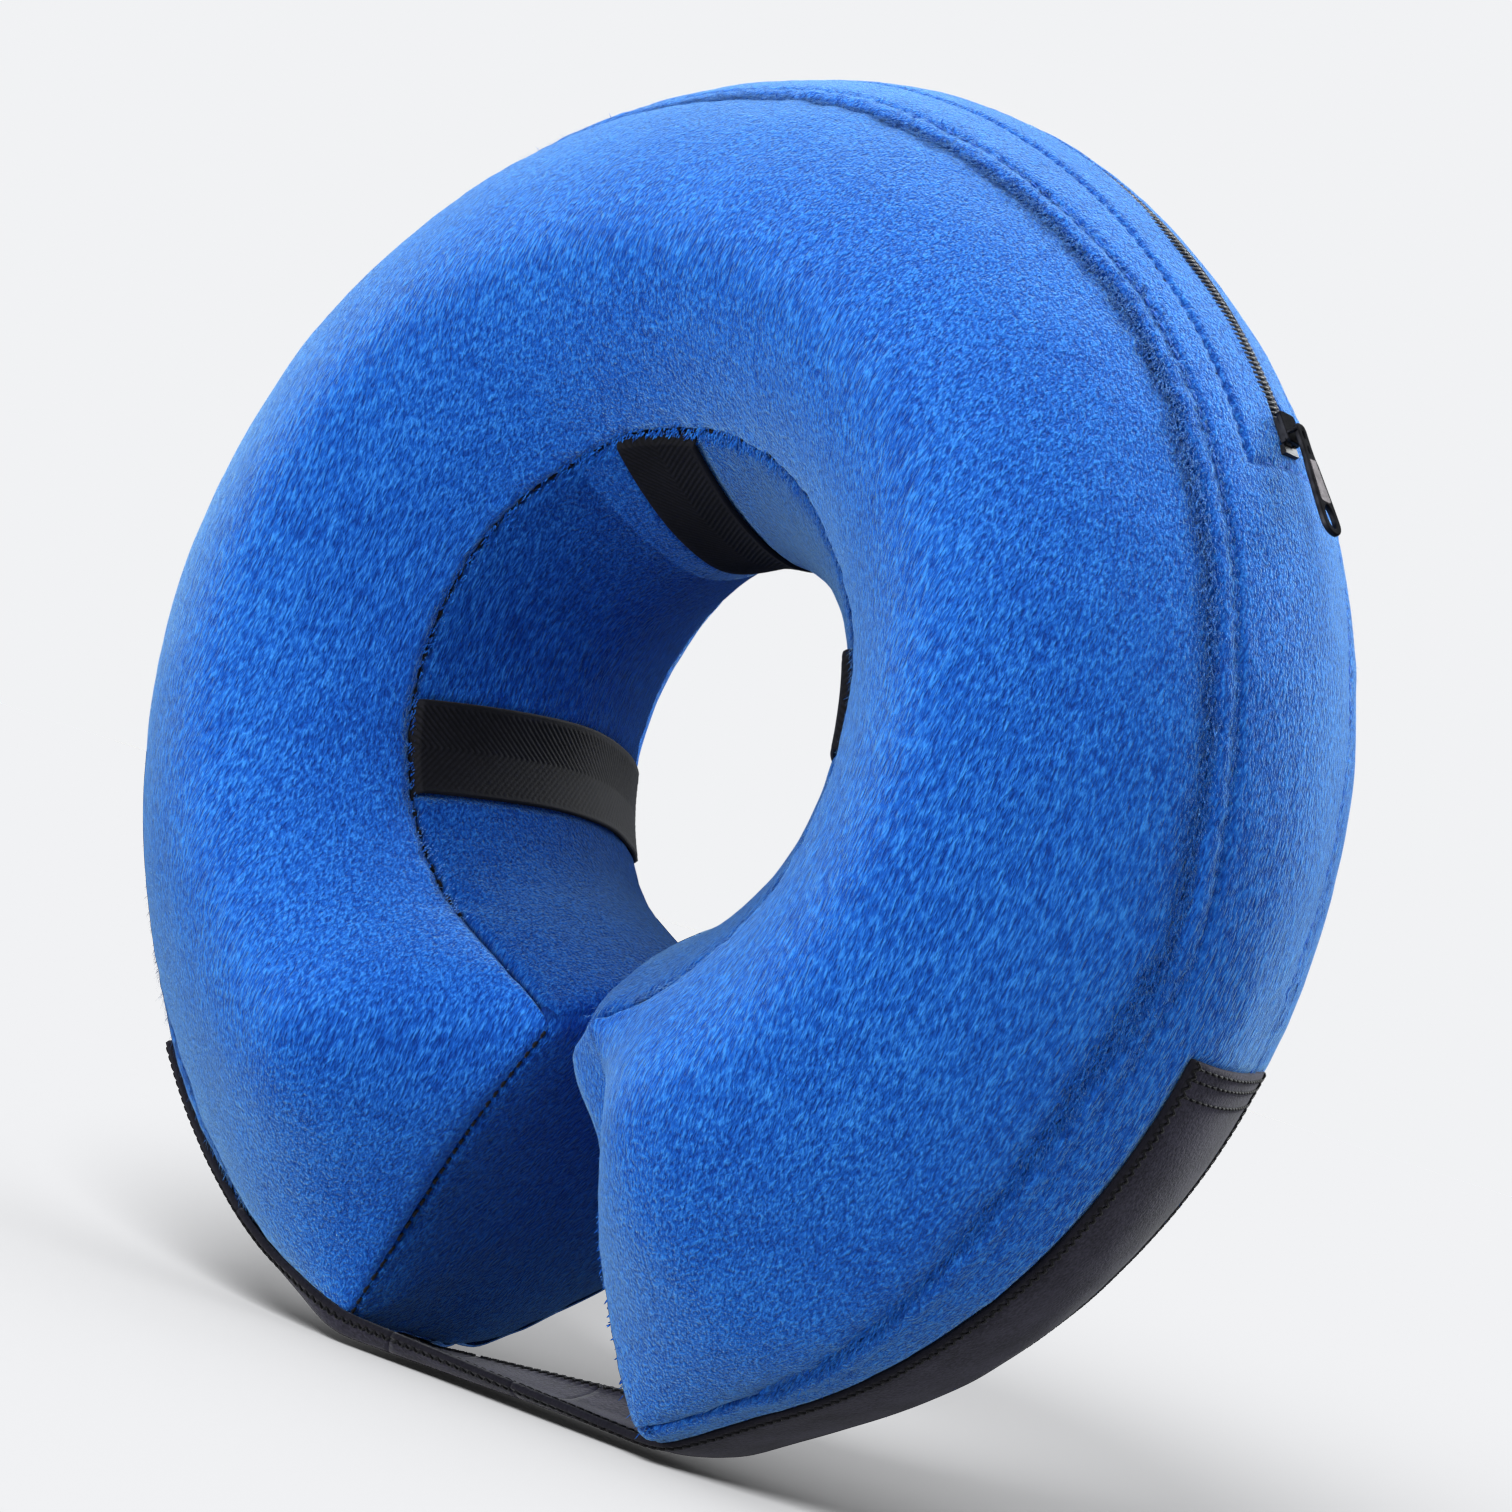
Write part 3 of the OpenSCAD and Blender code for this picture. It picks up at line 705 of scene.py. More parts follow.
def end_face(side):
    """The panel that closes an arm: a soft pillow inside its seam."""
    q_end = RIGHT_STRAIGHT - 1 if side == "right" else LEFT_STRAIGHT + 1
    normal = end_of(side)[3]
    out = np.array([normal[0], 0, normal[1]])
    length = np.linspace(0, OUT_LEN, 260, endpoint=False)[None, :]
    rim = surface(np.full((1, 1), q_end), length, -1.9)[0]
    l1, l2 = rim_seam_length(q_end), neck_seam_length(q_end)
    centre = rim.mean(0)
    ray = centre - rim
    dist = np.linalg.norm(ray, axis=1)
    inset = np.array([0.0, 0.4, 0.9, 1.5, 2.3, 3.3, 4.6, 6.2, 8.2, 10.6, 13.4, 16.5])
    deeper = np.linspace(0, 1, 14)[1:]
    share = np.concatenate([inset[:, None] / dist, inset[-1] / dist + (1 - inset[-1] / dist) * deeper[:, None]])
    p = rim + ray * share[..., None]
    s = share * dist
    high = END_BULGE[side] * (1 - np.exp(-s / 15)) - edge(s, 4.0, 2.6) + 0.4 * noise(p, 20) + pucker(p + 3, s, 7.0, 4.5)
    if side == "right":
        corner = p - surface(np.full((1, 1), q_end), np.array([[float(l2) - 31]]), 0)[0]
        off = np.linalg.norm(corner, axis=-1)
        high += 15.0 * hump(off, 26) * ramp(s, 0.5, 15) - 3.5 * hump(off, 12) * hump(s - 4, 3.5)
    else:
        corner = p - surface(np.full((1, 1), q_end), np.array([[OUT_LEN / 2]]), 0)[0]
        high += 4.0 * hump(np.linalg.norm(corner * (1, 0.5, 1), axis=-1), 16) * (1 - np.exp(-s / 3))
    high = np.concatenate([high[:1] - TUCK, high])
    p = np.concatenate([p[:1], p]) + out * high[..., None]
    p[-1] = p[-1].mean(0)
    shade = np.concatenate([np.ones((1, len(rim))), seam_shade(s, 1.0, 0.85)])
    cloth = Cloth()
    closed = np.concatenate([p, p[:, :1]], 1)
    shade = np.concatenate([shade, shade[:, :1]], 1)
    cloth.add(closed, shade, flip=side == "left")
    obj = cloth.make("end_face_cover_" + side, plush, custom=False)
    weld(obj)
    return obj


def weld(obj, distance=0.00001):
    mesh = bmesh.new()
    mesh.from_mesh(obj.data)
    bmesh.ops.remove_doubles(mesh, verts=mesh.verts, dist=distance)
    mesh.to_mesh(obj.data)
    mesh.free()


def bladder(side):
    """The air bladder inside, closed at the arm's end."""
    q = rows_of(side, 3.0)[:, None]
    q = np.clip(q, RIGHT_STRAIGHT - 0.78, LEFT_STRAIGHT + 0.78)
    length = np.linspace(0, OUT_LEN, 97)[None, :]
    lift = -7.5 + 0.3 * noise(surface(q, length, 0.0), 22)
    p = surface(q, length, lift)
    cap = p[:1] if side == "right" else p[-1:]
    centre = np.broadcast_to(cap.mean(1, keepdims=True), cap.shape)
    discs = [cap + (centre - cap) * k for k in (0.05, 0.3, 0.6, 1.0)]
    p = np.concatenate([*discs[::-1], p] if side == "right" else [p, *discs])
    cloth = Cloth()
    cloth.add(p, 0.0, flip=True)
    obj = cloth.make("bladder_" + side + "_film", vinyl, custom=False)
    weld(obj)
    return obj


def bend(obj):
    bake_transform(obj)
    return obj


def nodes_of(kind, side):
    return (kind + "_crown", kind + "_right") if side == "right" else (kind + "_left",)


for side in ("right", "left"):
    for rear in (False, True):
        panel = bend(broad_panel(side, rear))
        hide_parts(*nodes_of("rear_panel" if rear else "front_panel", side))
    gusset = bend(rim_gusset(side))
    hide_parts(*nodes_of("rim_gusset", side))
    band = bend(neck_band(side))
    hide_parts(*nodes_of("neck_band", side))
    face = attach(end_face(side), side + "_arm")
    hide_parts("end_face_" + side)
    film = bend(bladder(side))
    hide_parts(*nodes_of("bladder", side))

# ---------------------------------------------------------------- threads

class Strands:
    """Many short tubes gathered in one mesh."""

    def __init__(self, sides=6):
        self.sides = sides
        self.verts, self.faces = [], []

    def add(self, points, radius):
        points = np.asarray(points, float)
        count = len(points)
        radius = np.broadcast_to(radius, count)
        along = np.gradient(points, axis=0)
        along /= np.maximum(np.linalg.norm(along, axis=1, keepdims=True), 1e-9)
        ref = np.array([0.31, 0.87, 0.39])
        u = np.cross(along, ref)
        u /= np.maximum(np.linalg.norm(u, axis=1, keepdims=True), 1e-9)
        v = np.cross(along, u)
        a = np.arange(self.sides) * TAU / self.sides
        ring = points[:, None] + radius[:, None, None] * (u[:, None] * np.cos(a)[None, :, None] + v[:, None] * np.sin(a)[None, :, None])
        start = len(self.verts) and sum(len(x) for x in self.verts)
        self.verts.append(ring.reshape(-1, 3))
        self.faces += grid_faces(count, self.sides, start, close=True)
        self.faces.append([start + k for k in range(self.sides)][::-1])
        self.faces.append([start + (count - 1) * self.sides + k for k in range(self.sides)])

    def make(self, name, material):
        obj = new_object(name, np.concatenate(self.verts) * MM, self.faces)
        obj.data.materials.append(material)
        return obj


def dash_line(strands, curve, total, pitch, share, radius, depth_ends=0.5):
    """Stitches along curve(s), which gives a point and its normal for each length s."""
    for k in range(int(total // pitch)):
        s = k * pitch + pitch * 0.5 + np.linspace(-0.5, 0.5, 5) * pitch * share
        point, normal = curve(s)
        dip = depth_ends * (np.linspace(-1, 1, 5) ** 2)[:, None]
        strands.add(point - normal * dip, radius * np.array([0.7, 1, 1, 1, 0.7]))


def on_cover(q, length, lift):
    """Point and outward direction on the cover."""
    p = surface(q, length, lift)
    n = surface(q, length, lift + 1) - p
    return p, n / np.maximum(np.linalg.norm(n, axis=-1, keepdims=True), 1e-9)


def seam_threads(side):
    """Dark stitches sunk in both neck seams, and blue ones along the top-stitching and the zipper's slot."""
    q0, q1 = (RIGHT_STRAIGHT, SPLIT_AT) if side == "right" else (SPLIT_AT, LEFT_STRAIGHT)
    dark, blue = Strands(5), Strands(5)
    for rear in (False, True):
        def neck_curve(s, rear=rear):
            q = q0 + np.degrees(s / 70)
            length = neck_seam_length(q)
            return on_cover(q, OUT_LEN - length if rear else length, -2.1)

        dash_line(dark, neck_curve, math.radians(q1 - q0) * 70, 5.4, 0.55, 0.5)

        def top_curve(s, rear=rear):
            q = q0 + np.degrees(s / RING_R)
            length = rim_seam_length(q) - 7.4
            return on_cover(q, -length if rear else length, -1.0)

        dash_line(blue, top_curve, math.radians(q1 - q0) * RING_R, 4.6, 0.72, 0.38)
    a, b = max(q0, SLIT_FROM - 1.5), min(q1, SLIT_TO + 1.5)
    if b > a:
        for at in (17.5, -14.5):
            def slot_curve(s, at=at):
                q = a + np.degrees(s / RING_R)
                return on_cover(q, at + 0 * q, -1.45)

            dash_line(blue, slot_curve, math.radians(b - a) * RING_R, 4.6, 0.72, 0.38)
    if side == "right":
        for at in (SLIT_FROM - 1.5, SLIT_TO + 1.5):
            def end_curve(s, at=at):
                return on_cover(at + 0 * s, s - 14.5, -0.75)

            dash_line(blue, end_curve, 32.0, 4.6, 0.72, 0.38)
    for strands, name, material in ((dark, "neck_seam_stitches_", thread), (blue, "top_stitches_", blue_thread)):
        obj = bend(strands.make(name + side, material))


def end_seam_threads(side):
    q_end = RIGHT_STRAIGHT - 0.93 if side == "right" else LEFT_STRAIGHT + 1
    l1, l2 = rim_seam_length(q_end), neck_seam_length(q_end)
    dark = Strands(5)

    def curve(s):
        return on_cover(np.full(np.shape(s), q_end), l1 + s, -2.9)

    dash_line(dark, curve, float(l2 - l1), 5.0, 0.55, 0.5)
    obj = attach(dark.make("end_seam_stitches_" + side, thread), side + "_arm")


BLADES = {"rim": 7000, "stitching": 2600, "neck": 1300, "end": 120}


def seam_pile(side):
    """Blades of pile standing up beside the seams, where the stitching parts it."""
    rng = np.random.default_rng(SEED + (side == "left"))
    q0, q1 = (RIGHT_STRAIGHT - 0.9, SPLIT_AT) if side == "right" else (SPLIT_AT, LEFT_STRAIGHT + 0.9)
    roots, outs, sizes = [], [], []
    for kind, count in BLADES.items():
        count = count if side == "right" else count // 3
        q = rng.uniform(q0, q1, count * 2)
        if kind == "end":
            q = RIGHT_STRAIGHT - rng.uniform(0.75, 0.99, count * 2) if side == "right" else LEFT_STRAIGHT + rng.uniform(0.75, 0.99, count * 2)
        l1, l2 = rim_seam_length(q), neck_seam_length(q)
        length = {"rim": l1 + rng.normal(0, 2.6, len(q)), "stitching": l1 - 7.4 + rng.normal(0, 2.0, len(q)),
                  "neck": l2 + rng.normal(0, 1.8, len(q)), "end": l1 + (l2 - l1) * rng.uniform(0, 1, len(q))}[kind]
        rear = (rng.uniform(0, 1, len(q)) < 0.12) & (to_end(q, CORE_R) > 14)
        length = np.where(rear, OUT_LEN - length, length)
        p, n = on_cover(q, length, -0.9)
        roots.append(p)
        outs.append(n)
        sizes.append(rng.uniform(1.6, 4.2, len(q)) * (1.0 if kind == "rim" else 0.6))
    p, n, size = np.concatenate(roots), np.concatenate(outs), np.concatenate(sizes)[:, None]
    nap = np.array([-0.25, -0.1, -1.0])
    lie = nap - n * (n @ nap)[:, None]
    lie /= np.maximum(np.linalg.norm(lie, axis=1, keepdims=True), 1e-6)
    wild = rng.normal(0, 0.25, p.shape)
    way = lie * 0.85 + n * 0.38 + wild
    way /= np.linalg.norm(way, axis=1, keepdims=True)
    across = np.cross(way, n + wild * 0.6)
    across /= np.maximum(np.linalg.norm(across, axis=1, keepdims=True), 1e-6)
    width = rng.uniform(0.12, 0.24, (len(p), 1))
    middle = p + way * size * 0.55
    tip = p + way * size - n * size * 0.12
    verts = np.stack([p - across * width, p + across * width, middle + across * width * 0.7, middle - across * width * 0.7, tip], 1)
    start = np.arange(len(p))[:, None] * 5
    faces = (start + np.array([0, 1, 2, 3])).tolist() + (start + np.array([3, 2, 4])).tolist()
    obj = new_object("seam_pile_" + side, verts.reshape(-1, 3) * MM, faces)
    obj.data.materials.append(plush)
    bend(obj)


for side in ("right", "left"):
    seam_threads(side)
    end_seam_threads(side)
    seam_pile(side)

# ---------------------------------------------------------------- webbing

def ribbon(name, outer, normals, thickness, material, shade=0.0):
    """A flat strip with rounded selvedges: outer is its outer face as rows along and columns across, in millimetres."""
    inner = outer - normals * thickness
    across = np.gradient(outer, axis=1)
    across /= np.maximum(np.linalg.norm(across, axis=2, keepdims=True), 1e-9)
    first = (outer[:, :1] + inner[:, :1]) / 2 - across[:, :1] * thickness * 0.3
    last = (outer[:, -1:] + inner[:, -1:]) / 2 + across[:, -1:] * thickness * 0.3
    loop = np.concatenate([outer, last, inner[:, ::-1], first], 1)
    shade = np.broadcast_to(shade, outer.shape[:2])
    shade_loop = np.concatenate([shade, shade[:, -1:], shade[:, ::-1], shade[:, :1]], 1)
    rows, cols = loop.shape[:2]
    faces = grid_faces(rows, cols, close=True)
    faces.append(list(range(cols))[::-1])
    faces.append([(rows - 1) * cols + k for k in range(cols)])
    obj = new_object(name, loop.reshape(-1, 3) * MM, faces)
    obj.data.materials.append(material)
    # the seam attribute holds painted shade
    attribute = obj.data.attributes.new("seam", "FLOAT", "POINT")
    attribute.data.foreach_set("value", shade_loop.reshape(-1).astype(np.float32))
    return obj


def herringbone(along, across, pitch=1.7, half=LOOP_W / 2):
    """Ribs that meet in an arrow along the middle, between flat selvedges."""
    rib = np.sin(TAU * (along + np.abs(across) * 0.9) / pitch)
    flat = 1 - ramp(np.abs(across), half - 1.6, half - 1.0)
    return rib * flat


def neck_loop(key):
    at = LOOPS[key]
    seam = float(neck_seam_length(at))
    total = OUT_LEN - 2 * seam
    length = seam + np.linspace(0.0, total, int(total / 0.36))[:, None]
    across = np.linspace(-LOOP_W / 2, LOOP_W / 2, 72)[None, :]
    r = outline_at(length)[0]
    q = at + np.degrees(across / r)
    end = np.minimum(length - seam, seam + total - length)
    lift = 1.2 - 2.6 * (1 - ramp(end, 0.0, 2.2)) + 0.25 * noise(surface(q, length, 0.0), 15)
    lift = lift + 0.13 * herringbone(length, across)
    p, n = on_cover(q, length + 0 * across, lift)
    # painted shade in the herringbone's sunken ribs
    shade = 0.95 * np.clip(0.2 - herringbone(length, across), 0, 1)
    obj = ribbon(key + "_neck_loop_webbing", p, n, 1.5, webbing, shade)
    if key == "top":
        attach(obj, "crown")
    else:
        bend(obj)
    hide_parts(key + "_neck_loop")
    return obj


for key in LOOPS:
    neck_loop(key)

# ---------------------------------------------------------------- closing strap



def strap_grid(off_right, off_left, across):
    """The strap's outer face along its whole run, from its sewn end to its tip. Rows run along, columns across."""
    rows = []
    side = []

    def rim_row(q, front, off):
        length = length_on_rim_side(front - across)
        return surface(np.full((1, 1), q), length[None, :], off)[0]

    for q in np.arange(SEWN_FROM, RIGHT_STRAIGHT, -0.5):
        rows.append(rim_row(q, FRONT_RIGHT, off_right))
    for k in np.linspace(0, 0.97, 20):
        rows.append(rim_row(RIGHT_STRAIGHT - k, FRONT_RIGHT, off_right))
    right_end = rows[-1]
    left_rows = [rim_row(LEFT_STRAIGHT + k, FRONT_LEFT, off_left) for k in np.linspace(0.97, 0, 22)]
    left_rows += [rim_row(q, FRONT_LEFT, off_left) for q in np.arange(LEFT_STRAIGHT - 0.5, TIP_AT - 0.1, -0.5)]
    left_end = left_rows[0]
    bridge = len(rows)
    for k in np.linspace(0, 1, 60)[1:-1]:
        rows.append(right_end + (left_end - right_end) * k)
    tip = len(rows)
    rows += left_rows
    p = np.array(rows)
    smooth = p.copy()
    for _ in range(14):
        smooth[1:-1] = 0.25 * smooth[:-2] + 0.5 * smooth[1:-1] + 0.25 * smooth[2:]
    return smooth, bridge, tip


ACROSS = np.concatenate([[0, 0.5, 1.2, 2.0, 2.8, 3.6], np.linspace(4.6, STRAP_W - 4.6, 26), STRAP_W - np.array([3.6, 2.4, 1.2, 0.5, 0])])


def strap_relief(p):
    """The stitched border sinks a little and the cloth between is slightly quilted."""
    border = hump(ACROSS - 2.4, 1.3) + hump(STRAP_W - 2.4 - ACROSS, 1.3)
    return 0.12 * noise(p, 9) - 0.22 * border[None, :]


def arc_length(p):
    mid = p[:, len(ACROSS) // 2]
    return np.concatenate([[0], np.cumsum(np.linalg.norm(np.diff(mid, axis=0), axis=1))])


strap_face, strap_bridge_row, strap_tip_row = strap_grid(STRAP_T - 1.2, STRAP_T + 0.2, ACROSS)
strap_normal = grid_normals(strap_face)
if strap_normal[5, 5] @ np.array([math.cos(math.radians(-15)), 0, math.sin(math.radians(-15))]) < 0:
    strap_normal = -strap_normal
strap_face = strap_face + strap_normal * strap_relief(strap_face)[..., None]
lowest = strap_face[..., 2].min()
strap_run = arc_length(strap_face)
strap_x = strap_face[:, len(ACROSS) // 2, 0]


def strap_rows(x_from, x_to):
    """Rows of the strap between two X positions of its middle, which falls all the way from the sewn end to the tip."""
    a = int(np.argmin(np.abs(strap_x - x_from)))
    b = int(np.argmin(np.abs(strap_x - x_to)))
    return a, b + 1


def zigzag(strands, face, normal, at, width, pitch, radius, both=True):
    """Zigzag stitching along the strap, at a distance from its front edge."""
    run = np.concatenate([[0], np.cumsum(np.linalg.norm(np.diff(face[:, 0], axis=0), axis=1))])
    count = int(run[-1] / pitch * 2)
    if count < 1:
        return
    s = (np.arange(count + 1)) * pitch / 2
    row = np.interp(s, run, np.arange(len(run)))
    col = np.interp(at + width / 2 * np.where(np.arange(count + 1) % 2, 1, -1), ACROSS, np.arange(len(ACROSS)))

    def sample(grid, r, c):
        i, j = np.minimum(r.astype(int), len(grid) - 2), np.minimum(c.astype(int), grid.shape[1] - 2)
        fr, fc = (r - i)[:, None], (c - j)[:, None]
        return (grid[i, j] * (1 - fr) * (1 - fc) + grid[i + 1, j] * fr * (1 - fc) + grid[i, j + 1] * (1 - fr) * fc + grid[i + 1, j + 1] * fr * fc)

    p, n = sample(face, row, col), sample(normal, row, col)
    for outer in ((0.12,), (0.12, -STRAP_T - 0.12))[both]:
        base = p + n * outer
        for k in range(count):
            t = np.linspace(0, 1, 4)[:, None]
            arch = 0.22 * (1 - (2 * t - 1) ** 2) * (1 if outer > 0 else -1)
            strands.add(base[k] + (base[k + 1] - base[k]) * t + n[k] * arch, radius)


def strap_piece(name, x_from, x_to, nodes, stitches=True):
    a, b = strap_rows(x_from, x_to)
    face, normal = strap_face[a:b], strap_normal[a:b]
    # painted shade along the strap's rounded edges
    shade = 0.85 * (hump(ACROSS - 0.3, 1.1) + hump(STRAP_W - 0.3 - ACROSS, 1.1))[None, :] + 0 * face[..., 0]
    obj = ribbon(name, face, normal, STRAP_T, strap_cloth, np.clip(shade, 0, 1))
    strands = Strands(5)
    zigzag(strands, face, normal, 1.7, 2.2, 2.6, 0.34)
    zigzag(strands, face, normal, STRAP_W - 1.7, 2.2, 2.6, 0.34)
    seam = strands.make(name + "_stitches", thread)
    for piece in (obj, seam):
        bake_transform(piece)
    if nodes:
        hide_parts(*nodes)
    return obj


strap_piece("strap_sewn_length", 1e3, 8.0, ("strap_sewn", "strap_bridge_right"))
strap_piece("strap_span_length", 8.0, -30.0, ("strap_bridge_left",))
strap_piece("strap_fold_length", -30.0, -86.0, ("strap_middle",))
strap_piece("strap_tip_length", -86.0, -1e3, ("strap_tip",))


def end_rows():
    """Three rows of stitches across the strap's sewn end."""
    strands = Strands(5)
    for row in (1, 3, 6):
        p, n = strap_face[row, 3:-3], strap_normal[row, 3:-3]
        run = np.concatenate([[0], np.cumsum(np.linalg.norm(np.diff(p, axis=0), axis=1))])
        for k in range(int(run[-1] // 2.6)):
            s = k * 2.6 + np.linspace(0.2, 2.1, 4)
            q = np.stack([np.interp(s, run, p[:, c]) for c in range(3)], -1)
            m = np.stack([np.interp(s, run, n[:, c]) for c in range(3)], -1)
            arch = np.array([0.0, 0.2, 0.2, 0.0])[:, None]
            strands.add(q + m * (0.1 + arch), 0.36)
    obj = bend(strands.make("strap_end_stitches", thread))


end_rows()


def left_layer(name, off, thickness, inset, q_to, material, nodes, bodies=None, blend=None, x_cut=None):
    """A layer between the strap and the left arm."""
    across = np.linspace(inset, STRAP_W - inset, 30)
    qs = np.concatenate([LEFT_STRAIGHT + np.linspace(0.9, 0, 14), np.arange(LEFT_STRAIGHT - 1, q_to - 0.1, -1.0)])
    length = length_on_rim_side(FRONT_LEFT - across)[None, :]
    p, n = on_cover(qs[:, None] + 0 * length, length + 0 * qs[:, None], off + thickness)
    p = p + n * (0.15 * noise(p * 3, 5))[..., None]
    if x_cut is not None:
        x = p[:, 15, 0]
        keep = (x <= x_cut[0]) & (x >= x_cut[1])
        p, n = p[keep], n[keep]
    obj = ribbon(name, p, n, thickness, material)
    if blend:
        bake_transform(obj)
    else:
        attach(obj, bodies)
    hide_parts(*nodes)
    return obj


left_layer("loop_tape_pile", -2.5, 1.6, 1.0, 225.0, strap_cloth, ("loop_tape_left",), "left_arm")
left_layer("strap_hooks_fold", -0.8, 0.8, 1.5, 225.0, hook_cloth, ("strap_hooks_middle",), ("strap_span", "strap_fold"),
           ((-0.038, 0, -0.181), (-0.054, 0, -0.174)), (-40.0, -86.0))
left_layer("strap_hooks_end", -0.8, 0.8, 1.5, 225.0, hook_cloth, ("strap_hooks_tip",), ("strap_fold", "strap_end"),
           ((-0.090, 0, -0.160), (-0.104, 0, -0.151)), (-85.0, -200.0))

# ---------------------------------------------------------------- zipper

ZIP_FRONT = 2.0
COIL_TOP = 179.8


def polar_point(q, r, y):
    a = np.radians(q)
    return np.stack([r * np.cos(a), y + 0 * a, r * np.sin(a)], -1)


def zipper_coil(side, name, node):
    """Coil teeth: a rounded head near the middle and two legs back to the tape."""
    strands = Strands(6)
    pitch = np.degrees(1.55 / RING_R)
    first = 39.2 + (pitch / 2 if side > 0 else 0)
    for q in np.arange(first, 118.5, pitch):
        y = -ZIP_FRONT + side * np.array([-2.9, -1.6, -0.5, 0.15, 0.55])
        r = COIL_TOP - np.array([1.25, 0.75, 0.55, 0.75, 1.25])
        strands.add(polar_point(np.full(5, q), r, y), np.array([0.38, 0.42, 0.5, 0.55, 0.35]))
    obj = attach(strands.make(name, nylon), "crown")
    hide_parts(node)


zipper_coil(1, "zipper_teeth_front", "zipper_coil_front")
zipper_coil(-1, "zipper_teeth_rear", "zipper_coil_rear")

SLIDER_FRAME = Matrix.Rotation(-math.radians(SLIDER_AT), 4, "Y") @ Matrix.Translation((0, -ZIP_FRONT * MM, 0))


def slider_axes():
    """Outwards, along the zipper away from its closed end, and to the front."""
    a = math.radians(SLIDER_AT)
    return np.array([math.cos(a), 0, math.sin(a)]), np.array([-math.sin(a), 0, math.cos(a)]), np.array([0, -1.0, 0])


OUTWARD, ALONG, FRONTWARD = slider_axes()


def from_slider(points):
    """Slider coordinates (radius, along, front) to millimetres in the row frame."""
    p = np.atleast_2d(np.asarray(points, float))
    return p[:, :1] * OUTWARD + p[:, 1:2] * ALONG + (p[:, 2:3] + ZIP_FRONT) * FRONTWARD


def plate(outline, low, high, bevel):
    """(verts, faces) of a plate with eased edges: outline is (along, front) points, low and high its radii."""
    outline = np.asarray(outline, float)
    centre = outline.mean(0)
    rings = []
    for r, shrink in ((low, bevel), (low + bevel, 0), (high - bevel, 0), (high, bevel)):
        away = outline - centre
        size = np.linalg.norm(away, axis=1, keepdims=True)
        flat = outline - away / size * shrink
        rings.append(np.concatenate([np.full((len(outline), 1), r), flat], 1))
    verts = np.concatenate(rings)
    count = len(outline)
    faces = grid_faces(4, count, close=True)
    faces.append(list(range(count)))
    faces.append([3 * count + k for k in range(count)][::-1])
    return verts, faces


def rounded_outline(half_along, half_front, corner, shift=0.0, taper=0.0, steps=5):
    points = []
    for k, (sa, sf) in enumerate(((1, 1), (-1, 1), (-1, -1), (1, -1))):
        for t in np.linspace(0, math.pi / 2, steps):
            a = t + k * math.pi / 2
            along = sa * (half_along - corner) + corner * math.cos(a)
            front = sf * (half_front - corner) + corner * math.sin(a)
            points.append((along + shift, front * (1 + taper * along / half_along)))
    return points


def join_parts(name, parts, material):
    verts, faces = [], []
    for v, f in parts:
        start = sum(len(x) for x in verts)
        verts.append(v)
        faces += [[start + k for k in face] for face in f]
    obj = new_object(name, from_slider(np.concatenate(verts)) * MM, faces, smooth=False)
    obj.data.materials.append(material)
    mesh = bmesh.new()
    mesh.from_mesh(obj.data)
    bmesh.ops.recalc_face_normals(mesh, faces=mesh.faces)
    mesh.to_mesh(obj.data)
    mesh.free()
    return obj


def tube_part(points, radius, sides=8):
    strands = Strands(sides)
    strands.add(points, radius)
    return np.concatenate(strands.verts), strands.faces


def zipper_slider():
    parts = [plate(rounded_outline(4.5, 3.4, 1.4, taper=0.08), 180.3, 181.7, 0.3),
             plate(rounded_outline(4.5, 3.4, 1.2), 175.35, 176.25, 0.2),
             plate(rounded_outline(1.3, 0.6, 0.3, shift=3.2), 176.1, 180.6, 0.1)]
    for sign in (-1, 1):
        parts.append(plate([(a, f + sign * 3.0) for a, f in rounded_outline(3.6, 0.35, 0.2, shift=-0.6)], 179.2, 180.6, 0.1))
    bow = np.linspace(0, math.pi, 15)
    bail = np.stack([181.4 + 3.1 * np.sin(bow) ** 0.7, -2.0 + 0 * bow, 2.55 * np.cos(bow)], -1)
    bail[:, 0] = np.minimum(bail[:, 0], 183.7)
    parts.append(tube_part(bail, 0.62))
    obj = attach(join_parts("zipper_slider_body", parts, dark_metal), "slider")
    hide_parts("zipper_slider")


def pull_curve(name, outer, holes, thickness, bevel, radius, material):
    """A flat plate cut from an outline with holes, with rolled edges, in the slider's frame."""
    curve = bpy.data.curves.new(name, "CURVE")
    curve.dimensions = "2D"
    curve.fill_mode = "BOTH"
    curve.extrude = thickness / 2 - bevel
    curve.bevel_depth = bevel
    curve.bevel_resolution = 2
    for loop in [outer, *holes]:
        spline = curve.splines.new("POLY")
        spline.points.add(len(loop) - 1)
        for point, (a, f) in zip(spline.points, loop):
            point.co = (a, f, 0, 1)
        spline.use_cyclic_u = True
    holder = bpy.data.objects.new(name + "_source", curve)
    bpy.context.scene.collection.objects.link(holder)
    mesh = bpy.data.meshes.new_from_object(holder.evaluated_get(bpy.context.evaluated_depsgraph_get()))
    bpy.data.objects.remove(holder)
    bpy.data.curves.remove(curve)
    flat = np.array([v.co for v in mesh.vertices], float).reshape(-1, 3)
    placed = from_slider(np.stack([radius + flat[:, 2], flat[:, 0], flat[:, 1]], -1)) * MM
    mesh.vertices.foreach_set("co", placed.astype(np.float32).ravel())
    mesh.name = name
    obj = bpy.data.objects.new(name, mesh)
    bpy.context.scene.collection.objects.link(obj)
    obj.data.materials.clear()
    obj.data.materials.append(material)
    weld(obj, 0.000002)
    return obj


PULL_PIVOT = 183.6
BAIL_AT = -2.0


